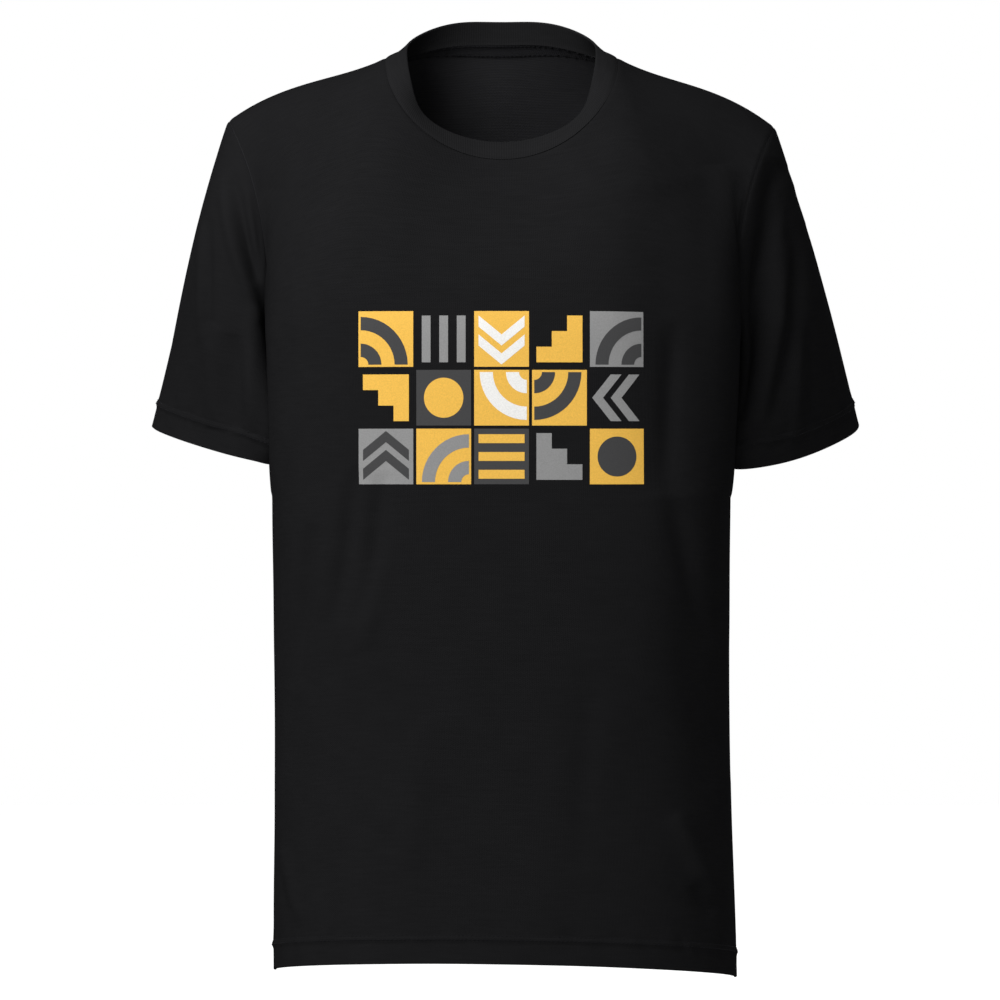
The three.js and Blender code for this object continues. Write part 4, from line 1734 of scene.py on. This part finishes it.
@dataclass(frozen=True)
class SeamAllowances:
    """The two layers of cloth behind the seams, trimmed to a narrow edge that stands inwards, and overlocked.

    Attributes:
        rib: The neck rib, whose front seam is one of them.
        cut: The shirt's cut.
        depth: How far they stand in from the seam.
        thickness: The thickness of both layers.
        wrap: How much of the depth the thread covers.
        thread: How far the thread stands out over the cloth.
    """

    rib: NeckRib
    cut: Cut = CUT
    depth: float = 6.0
    thickness: float = 1.7
    wrap: float = 3.6
    thread: float = 0.35

    def armhole(self, side: Side) -> tuple[Array, Array]:
        """The line of an armhole's allowance and the way it stands in, towards the middle and the body.

        Args:
            side: Which side.

        Returns:
            The points and directions.
        """
        line = self.cut.armhole_round(np.linspace(0, CIRCLE, 161), side)
        middle = line.mean(axis=0)
        return line, unit(unit(middle - line) + np.array([-0.5 * side.value, 0, 0]))

    def side_seam(self, side: Side) -> tuple[Array, Array]:
        """The line of a side seam's allowance, from above the hem to the armpit, and the way it stands in.

        Args:
            side: Which side.

        Returns:
            The points and directions.
        """
        v = np.linspace((self.cut.hem_depth + 2) / self.cut.body_length, self.cut.body_share, 150)
        line = self.cut.panel_point(np.full_like(v, -side.value), v, Facing.BACK)
        return line, np.broadcast_to(np.array([-side.value, 0, 0.0]), line.shape)

    def front_neck(self) -> tuple[Array, Array]:
        """The line of the front neck seam's allowance, and the way down behind the panel.

        Returns:
            The points and directions.
        """
        seam = self.rib.seam(NECK_PLACES)
        along, out = self.rib.directions(seam)
        kept = np.flatnonzero(seam[:, 2] < -4)  # clear of the shoulder seams
        return seam[kept], unit(-0.6 * along - 0.8 * out)[kept]

    def section(self, low: float, high: float, thick: float) -> Array:
        """A rounded slip between two depths: an ellipse of the fourth power.

        Args:
            low: The depth where it starts.
            high: The depth where it ends.
            thick: Its thickness.

        Returns:
            Its points.
        """
        a = np.linspace(0, CIRCLE, 16, endpoint=False)
        over, up = (np.sign(c) * np.abs(c) ** 0.5 for c in (np.cos(a), np.sin(a)))
        return np.stack([thick / 2 * over, (low + high) / 2 + (high - low) / 2 * up], axis=-1)

    def make(self) -> list[Piece]:
        """Makes the allowances and the thread over their raw edges.

        Returns:
            The two pieces.
        """
        lines = [(*self.armhole(side), True) for side in Side]
        lines += [(*self.side_seam(side), False) for side in Side] + [(*self.front_neck(), False)]
        cloth = self.section(self.cut.gap, self.depth, self.thickness)
        low, high = self.depth - self.wrap, self.depth + self.thread
        edge = self.section(low, high, self.thickness + 2 * self.thread)
        slips = joined([tube(line, up, cloth, closed) for line, up, closed in lines])
        casings = joined([tube(line, up, edge, closed) for line, up, closed in lines])
        return [
            make_piece("seam_allowances", slips, (REVERSE_PAINTED_PALE,)),
            make_piece("seam_overlocking", casings, (OVERLOCKING,)),
        ]


@dataclass(frozen=True)
class NeckTape:
    """The tape that covers the back neck seam inside the shirt, between the shoulder tapes.

    Attributes:
        width: The tape's width.
        inset: How far below the seam it starts.
        end: How far round the seam it goes to each side, as a share.
        thickness: The tape's thickness.
        clear: How far it lies off the panel at its middle.
        hug: How much closer its edges lie.
        margin: The distance from an edge to its row of stitches.
        proud: How far the middles of its stitches stand off it.
        panel: The panel that it lies on.
    """

    panel: Panel
    width: float = 10
    inset: float = 0.6
    end: float = 0.86
    thickness: float = 0.4
    clear: float = 0.18
    hug: float = 0.1
    margin: float = 1.3
    proud: float = 0.62

    def make(self, *finishes: Finish) -> Piece:
        """Makes the tape, which stands for the model's. Its edges lie a little closer to the panel.

        Args:
            finishes: What it is made of.

        Returns:
            The piece.
        """
        q = np.linspace(-self.end, self.end, 120)[None]
        down = np.linspace(self.inset, self.inset + self.width, 7)[::-1, None]
        u, v = self.panel.below_neck(q, down)
        edge = ((down - self.inset) / self.width * 2 - 1) ** 4
        off = self.panel.cut.cloth / 2 + self.clear + self.thickness / 2 - self.hug * edge
        points, _ = self.panel.place(u, v, np.broadcast_to(-off, u.shape))
        run = np.broadcast_to(lengths(points[len(points) // 2])[None], u.shape)
        cloth = np.stack([run, np.broadcast_to(-down, u.shape)], axis=-1) * MM
        patch = joined([lattice(points, cloth)])
        piece = make_piece("back_neck_tape_twill", patch, finishes, self.thickness)
        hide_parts("back_neck_tape")
        return piece

    def rows(self, pitch: float) -> list[tuple[Array, Array]]:
        """Two rows of places for stitches on the tape, near its edges, and the directions out of it.

        Args:
            pitch: The distance between points.

        Returns:
            For each row, the points and directions.
        """
        length = 2 * self.end * math.hypot(self.panel.cut.neck_half, self.panel.cut.back_reach)
        q = np.linspace(-self.end, self.end, round(length / pitch))
        lift = -(self.panel.cut.cloth / 2 + self.clear + self.thickness + self.proud)
        found = []
        for down in (self.inset + self.margin, self.inset + self.width - self.margin):
            u, v = self.panel.below_neck(q, down)
            points, out = self.panel.place(u, v, np.full(u.shape, lift))
            found.append((points, -out))
        return found


@dataclass(frozen=True)
class ShoulderTape:
    """The tape that lies over a shoulder seam inside the shirt, from the neck to the armhole.

    Attributes:
        side: Which shoulder it is on.
        front: The front panel.
        back: The back panel.
        width: The tape's width.
        inset: How far it stops short of the seams at its ends.
        thickness: The tape's thickness.
    """

    side: Side
    front: Panel
    back: Panel
    width: float = 10
    inset: float = 2.5
    thickness: float = 0.7

    def make(self, *finishes: Finish) -> Piece:
        """Makes the tape, which stands for the model's.

        Its way across runs from the front panel over the seam to the back one, level with the cloth's inside.

        Args:
            finishes: What it is made of.

        Returns:
            The piece.
        """
        cut = self.front.cut
        length = cut.shoulder_half - cut.neck_half
        ends = np.array([self.inset, length - self.inset]) / length
        u = mix(cut.neck_share, 1, np.linspace(*ends, 60))[:, None]
        t = np.linspace(-1, 1, 11)[None]
        sheets = []
        for panel in (self.front, self.back):
            turn = -panel.facing.value * self.side.value
            v = 1 - np.abs(t) * self.width / 2 / panel.climb
            lift = -(cut.cloth / 2 + cut.gap + self.thickness / 2)
            unfolded = replace(panel, folds=())
            sheets.append(unfolded.place(turn * u, v, np.full((u.size, t.size), lift))[0])
        points = np.where((t < 0)[..., None], sheets[0], sheets[1])
        middle = t.size // 2
        points[:, middle] = (points[:, middle - 1] + points[:, middle + 1]) / 2
        if self.side is Side.LEFT:
            points, t, u = points[::-1], t, u[::-1]
        run = np.broadcast_to(u * cut.shoulder_half, points.shape[:2])
        across = np.broadcast_to(t * self.width / 2, points.shape[:2])
        cloth = np.stack([run, across], axis=-1) * MM
        name = self.side.name.lower() + "_shoulder_tape"
        patch = joined([lattice(points, cloth)])
        piece = make_piece(name + "_twill", patch, finishes, self.thickness)
        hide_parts(name)
        return piece


# ---- Print ----


class Motif(Enum):
    """What a tile of the print shows."""

    ARCS = "two quarter rings round a corner"
    DISC = "a round spot"
    BARS = "three upright bars"
    CHEVRONS = "two bent stripes"
    STEPS = "three steps"


@dataclass(frozen=True)
class Tile:
    """One square of the print.

    Attributes:
        motif: What it shows.
        turn: By how many quarter circles it is turned.
        ground: The ink below the motif, or none where the cloth shows.
        figure: The motif's ink.
    """

    motif: Motif
    turn: int
    ground: Tint | None
    figure: Tint

    def shapes(self) -> list[tuple[Array, Array]]:
        """The motif's shapes on a square from 0 to 1, each one a lattice of places over two parameters.

        Returns:
            For each shape, its places across and up.
        """
        s, t = np.meshgrid(np.linspace(0, 1, 13), np.linspace(0, 1, 13))
        if self.motif is Motif.ARCS:
            rings = ((0.86, 0.62), (0.38, 0.14))
            reach = [mix(outer, inner, t) for outer, inner in rings]
            return [(0.04 + r * np.cos(s * QUARTER), 0.04 + r * np.sin(s * QUARTER)) for r in reach]
        if self.motif is Motif.DISC:
            a, b = 2 * s - 1, 2 * t - 1
            return [(0.5 + 0.36 * a * np.sqrt(1 - b * b / 2), 0.5 + 0.36 * b * np.sqrt(1 - a * a / 2))]
        if self.motif is Motif.BARS:
            return [(left + 0.16 * s, 0.08 + 0.84 * t) for left in (0.1, 0.42, 0.74)]
        if self.motif is Motif.CHEVRONS:
            bend = 0.34 * (1 - np.abs(2 * s - 1))
            return [(0.08 + 0.84 * s, low + 0.2 * t + bend) for low in (0.08, 0.42)]
        return [(0.08 + 0.28 * k + 0.28 * s, 0.08 + (0.28 + 0.28 * k) * t) for k in range(3)]

    def turned(self, a: Array, b: Array) -> tuple[Array, Array]:
        """Places on the square turned about its middle by the tile's quarter circles.

        Args:
            a: Places across.
            b: Places up.

        Returns:
            The turned places.
        """
        for _ in range(self.turn):
            a, b = 1 - b, a
        return a, b


@dataclass(frozen=True)
class ChestPrint:
    """The print on the chest: a block of square tiles with plain geometric motifs, in four inks.

    Attributes:
        panel: The front panel.
        tiles: The tiles, row by row from the top, each row from the viewer's left.
        gap: The bare cloth between tiles.
        thickness: The thickness of a film of ink.
        clear: How far the first film's middle lies off the cloth.
        step: How much further off a motif's film lies.
    """

    panel: Panel
    tiles: tuple[tuple[Tile, ...], ...]
    gap: float = 2.4
    thickness: float = 0.08
    clear: float = 0.14
    step: float = 0.1

    def on_panel(self, x: Array, z: Array, lift: float) -> Array:
        """Points of the ink over places seen from the front, found by stepping towards them on the panel.

        Each step takes the panel as flat and evenly scaled, which leaves less and less to go.

        Args:
            x: Places across, as seen.
            z: Places up, as seen.
            lift: How far outside the cloth's middle they lie.

        Returns:
            The points.
        """
        wide, tall = 290, 800
        u, v = x / wide, 1 + z / tall
        for _ in range(24):
            p = self.panel.cut.panel_point(u, v, Facing.FRONT)
            u, v = u + (x - p[..., 0]) / wide, v + (z - p[..., 2]) / tall
        return self.panel.place(u, v, np.full(u.shape, lift))[0]

    def patches(self, tint: Tint) -> list[Patch]:
        """All the shapes of one ink.

        Args:
            tint: The ink.

        Returns:
            The patches.
        """
        low, high = (np.array(corner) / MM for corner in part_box("chest_print"))
        across, down = len(self.tiles[0]), len(self.tiles)
        wide, tall = (high[0] - low[0]) / across, (high[2] - low[2]) / down
        film = self.panel.cut.cloth / 2 + self.clear
        square = np.meshgrid(np.linspace(0, 1, 15), np.linspace(0, 1, 15))
        found = []
        for row, line in enumerate(self.tiles):
            for column, tile in enumerate(line):
                shapes = [(*square, film)] if tile.ground is tint else []
                if tile.figure is tint:
                    shapes += [(*tile.turned(a, b), film + self.step) for a, b in tile.shapes()]
                for a, b, lift in shapes:
                    x = low[0] + column * wide + self.gap / 2 + a * (wide - self.gap)
                    z = high[2] - (row + 1) * tall + self.gap / 2 + b * (tall - self.gap)
                    found.append(lattice(self.on_panel(x, z, lift), np.stack([x, z], axis=-1) * MM))
        return [p if facing_front(p) else p.flipped() for p in found]

    def make(self) -> list[Piece]:
        """Makes the print, a film of each ink, which together stand for the model's print.

        Returns:
            The pieces.
        """
        made = []
        for tint in Tint:
            name = f"chest_print_{tint.name.lower()}"
            patch = joined(self.patches(tint), weld=False)
            piece = make_piece(name, patch, (Ink(tint),), self.thickness)
            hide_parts("chest_print")
            made.append(piece)
        return made


def facing_front(patch: Patch) -> bool:
    """Whether a patch's middle face looks towards -Y."""
    a, b, _, d = patch.points[patch.faces[len(patch.faces) // 2]]
    return bool(np.cross(b - a, d - a)[1] < 0)


TILES = (
    (
        Tile(Motif.ARCS, 0, Tint.AMBER, Tint.CHARCOAL),
        Tile(Motif.BARS, 0, None, Tint.GREY),
        Tile(Motif.CHEVRONS, 2, Tint.AMBER, Tint.WHITE),
        Tile(Motif.STEPS, 0, None, Tint.AMBER),
        Tile(Motif.ARCS, 1, Tint.GREY, Tint.CHARCOAL),
    ),
    (
        Tile(Motif.STEPS, 1, None, Tint.AMBER),
        Tile(Motif.DISC, 0, Tint.CHARCOAL, Tint.AMBER),
        Tile(Motif.ARCS, 2, Tint.AMBER, Tint.WHITE),
        Tile(Motif.ARCS, 3, Tint.AMBER, Tint.CHARCOAL),
        Tile(Motif.CHEVRONS, 1, None, Tint.GREY),
    ),
    (
        Tile(Motif.CHEVRONS, 0, Tint.GREY, Tint.CHARCOAL),
        Tile(Motif.ARCS, 1, Tint.AMBER, Tint.GREY),
        Tile(Motif.BARS, 1, Tint.CHARCOAL, Tint.AMBER),
        Tile(Motif.STEPS, 3, None, Tint.GREY),
        Tile(Motif.DISC, 0, Tint.AMBER, Tint.CHARCOAL),
    ),
)


# ---- Studio ----


@dataclass(frozen=True)
class Studio:
    """The floor, the lamps and the camera.

    Attributes:
        field: How wide the camera sees at the shirt's middle, in metres.
        away: The camera's distance from there.
        eye: The height at which the camera stands.
        aside: How far it stands to the wearer's left of the shirt's middle.
        drop: How far below the hem the floor lies.
        reach: Half the floor's width.
    """

    field: float = 0.8
    away: float = 3.2
    eye: float = -0.3532
    aside: float = -0.0012
    drop: float = 0.32
    reach: float = 6

    def lamp(
        self, name: str, place: tuple[float, ...], aim: tuple[float, ...], size: float, power: float
    ) -> None:
        """Makes a square lamp.

        Args:
            name: Its name.
            place: Where it stands.
            aim: The point that it faces.
            size: Its width.
            power: Its power in watts.
        """
        light = bpy.data.lights.new(name, "AREA")
        light.size, light.energy = size, power
        lamp = bpy.data.objects.new(name, light)
        bpy.context.scene.collection.objects.link(lamp)
        lamp.location = place
        way = np.array(aim) - np.array(place)
        level = math.hypot(way[0], way[1])
        lamp.rotation_euler = (math.atan2(level, -way[2]), 0, math.atan2(-way[0], way[1]))

    def camera(self) -> None:
        """Makes the camera, level and square to the shirt's front."""
        data = bpy.data.cameras.new("camera")
        data.sensor_width = 36
        data.lens = data.sensor_width * self.away / self.field
        data.clip_end = 40
        camera = bpy.data.objects.new("camera", data)
        bpy.context.scene.collection.objects.link(camera)
        camera.location = (self.aside, -self.away, self.eye)
        camera.rotation_euler = (QUARTER, 0, 0)
        bpy.context.scene.camera = camera

    def floor(self) -> None:
        """Makes the floor, a wide pale sheet well below the shirt."""
        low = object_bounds()[0][2] - self.drop
        corners = [(x * self.reach, y * self.reach, low) for x, y in ((-1, -1), (1, -1), (1, 1), (-1, 1))]
        mesh = bpy.data.meshes.new("floor")
        mesh.from_pydata(corners, [], [(0, 1, 2, 3)])
        mesh.materials.append(Floor().material())
        floor = bpy.data.objects.new("floor", mesh)
        bpy.context.scene.collection.objects.link(floor)
        floor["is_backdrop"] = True

    def world(self) -> None:
        """Makes the surroundings: white to the camera and in reflections, and soft grey as a light."""
        world = bpy.data.worlds.new("studio")
        bpy.context.scene.world = world
        world.use_nodes = True
        tree = world.node_tree
        tree.nodes.clear()
        path = add(tree, "ShaderNodeLightPath").outputs
        seen = path["Is Camera Ray"]
        for other in ("Is Glossy Ray", "Is Transmission Ray"):
            seen = add(tree, "ShaderNodeMath", {0: seen, 1: path[other]}, operation="MAXIMUM").outputs[0]
        strength = add(tree, "ShaderNodeMapRange", {0: seen, 3: 0.26, 4: 1.0}).outputs[0]
        sky = add(tree, "ShaderNodeBackground", {"Color": (1, 1, 1, 1), "Strength": strength}).outputs[0]
        add(tree, "ShaderNodeOutputWorld", {"Surface": sky})

    def make(self) -> None:
        """Makes the whole studio."""
        bpy.context.scene.view_settings.view_transform = "Standard"
        self.camera()
        self.floor()
        self.world()
        self.lamp("key", (-1.05, -1.45, 1.08), (0, 0, -0.25), 1.5, 58)
        self.lamp("back", (1.5, 2.3, 0.7), (0, 0, -0.35), 1.2, 24)


@dataclass(frozen=True)
class Floor(Finish):
    """Matt white studio board. Seen directly it is white, and it still takes the shirt's shadow."""

    name: str = "white studio board, matt"

    def surface(self, tree: Tree) -> Socket:
        """A rough white surface with a faint mottle.

        Args:
            tree: The nodes to add to.

        Returns:
            The shader's socket.
        """
        spot = add(tree, "ShaderNodeTexCoord").outputs["Object"]
        cloud = add(tree, "ShaderNodeTexNoise", {"Vector": spot, "Scale": 3.0}).outputs[0]
        white = add(tree, "ShaderNodeMapRange", {0: cloud, 3: 0.56, 4: 0.6}).outputs[0]
        shader = add(tree, "ShaderNodeBsdfPrincipled", {"Base Color": white})
        shader.inputs["Roughness"].default_value = 0.9
        seen = add(tree, "ShaderNodeLightPath").outputs["Is Camera Ray"]
        glow = add(tree, "ShaderNodeMath", {0: seen, 1: 0.8}, operation="MULTIPLY").outputs[0]
        tree.links.new(glow, shader.inputs["Emission Strength"])
        shader.inputs["Emission Color"].default_value = (1, 1, 1, 1)
        return shader.outputs[0]


# ---- The shirt ----


@dataclass(frozen=True)
class Shirt:
    """The whole shirt, put together from its pieces of cloth."""

    front: Panel = Panel(Facing.FRONT, FRONT_FOLDS)
    back: Panel = Panel(Facing.BACK, BACK_FOLDS, seed=8, looseness=1.6)
    left: Sleeve = Sleeve(
        Side.LEFT,
        Hang(swing=11, twist=56, tuck=0.5, fill=0.3, reach=4.5, press=4),
        LEFT_SLEEVE_FOLDS,
        SLEEVE_BACK_FOLDS,
        seed=21,
    )
    right: Sleeve = Sleeve(
        Side.RIGHT,
        Hang(swing=3.5, twist=58, tuck=0, fill=1.0, reach=2.2, press=4),
        RIGHT_SLEEVE_FOLDS,
        mirrored(SLEEVE_BACK_FOLDS),
        seed=34,
    )
    rib: NeckRib = NeckRib()
    stitching: Stitching = Stitching()
    proud: float = 0.12  # how far the middles of the stitches stand out of the cloth

    def stitched(self) -> list[Piece]:
        """Makes the two rows of stitches on the hem and on each cuff.

        Returns:
            The stitches of the hem, the left cuff and the right cuff.
        """
        lift, pitch = self.front.cut.cloth / 2 + self.proud, self.stitching.pitch
        rows = self.front.stitch.rows
        hem = [panel.along_hem(row, lift, pitch) for panel in (self.front, self.back) for row in rows]
        cuffs = [[sleeve.along_cuff(row, lift, pitch) for row in rows] for sleeve in (self.left, self.right)]
        return [
            self.stitching.make("hem_stitches", hem),
            self.stitching.make("left_cuff_stitches", cuffs[0]),
            self.stitching.make("right_cuff_stitches", cuffs[1]),
        ]

    def make(self) -> None:
        """Makes every piece."""
        cloth = (JERSEY, REVERSE_PAINTED_PALE)
        front, back = self.front.make(*cloth), self.back.make(*cloth)
        left, right = self.left.make(*cloth), self.right.make(*cloth)
        rib = self.rib.make(RIB)
        neck_tape = NeckTape(self.back)
        tape = neck_tape.make(TWILL)
        shoulder_tapes = [ShoulderTape(side, self.front, self.back).make(TWILL) for side in Side]
        tape_stitches = self.stitching.make("neck_tape_stitches", neck_tape.rows(self.stitching.pitch))
        hem, left_cuff, right_cuff = self.stitched()
        allowances = SeamAllowances(self.rib).make()
        films = ChestPrint(self.front, TILES).make()


def main() -> None:
    """Builds the shirt and the studio."""
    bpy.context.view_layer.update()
    Shirt().make()
    Studio().make()


if __name__ == "__main__":
    main()
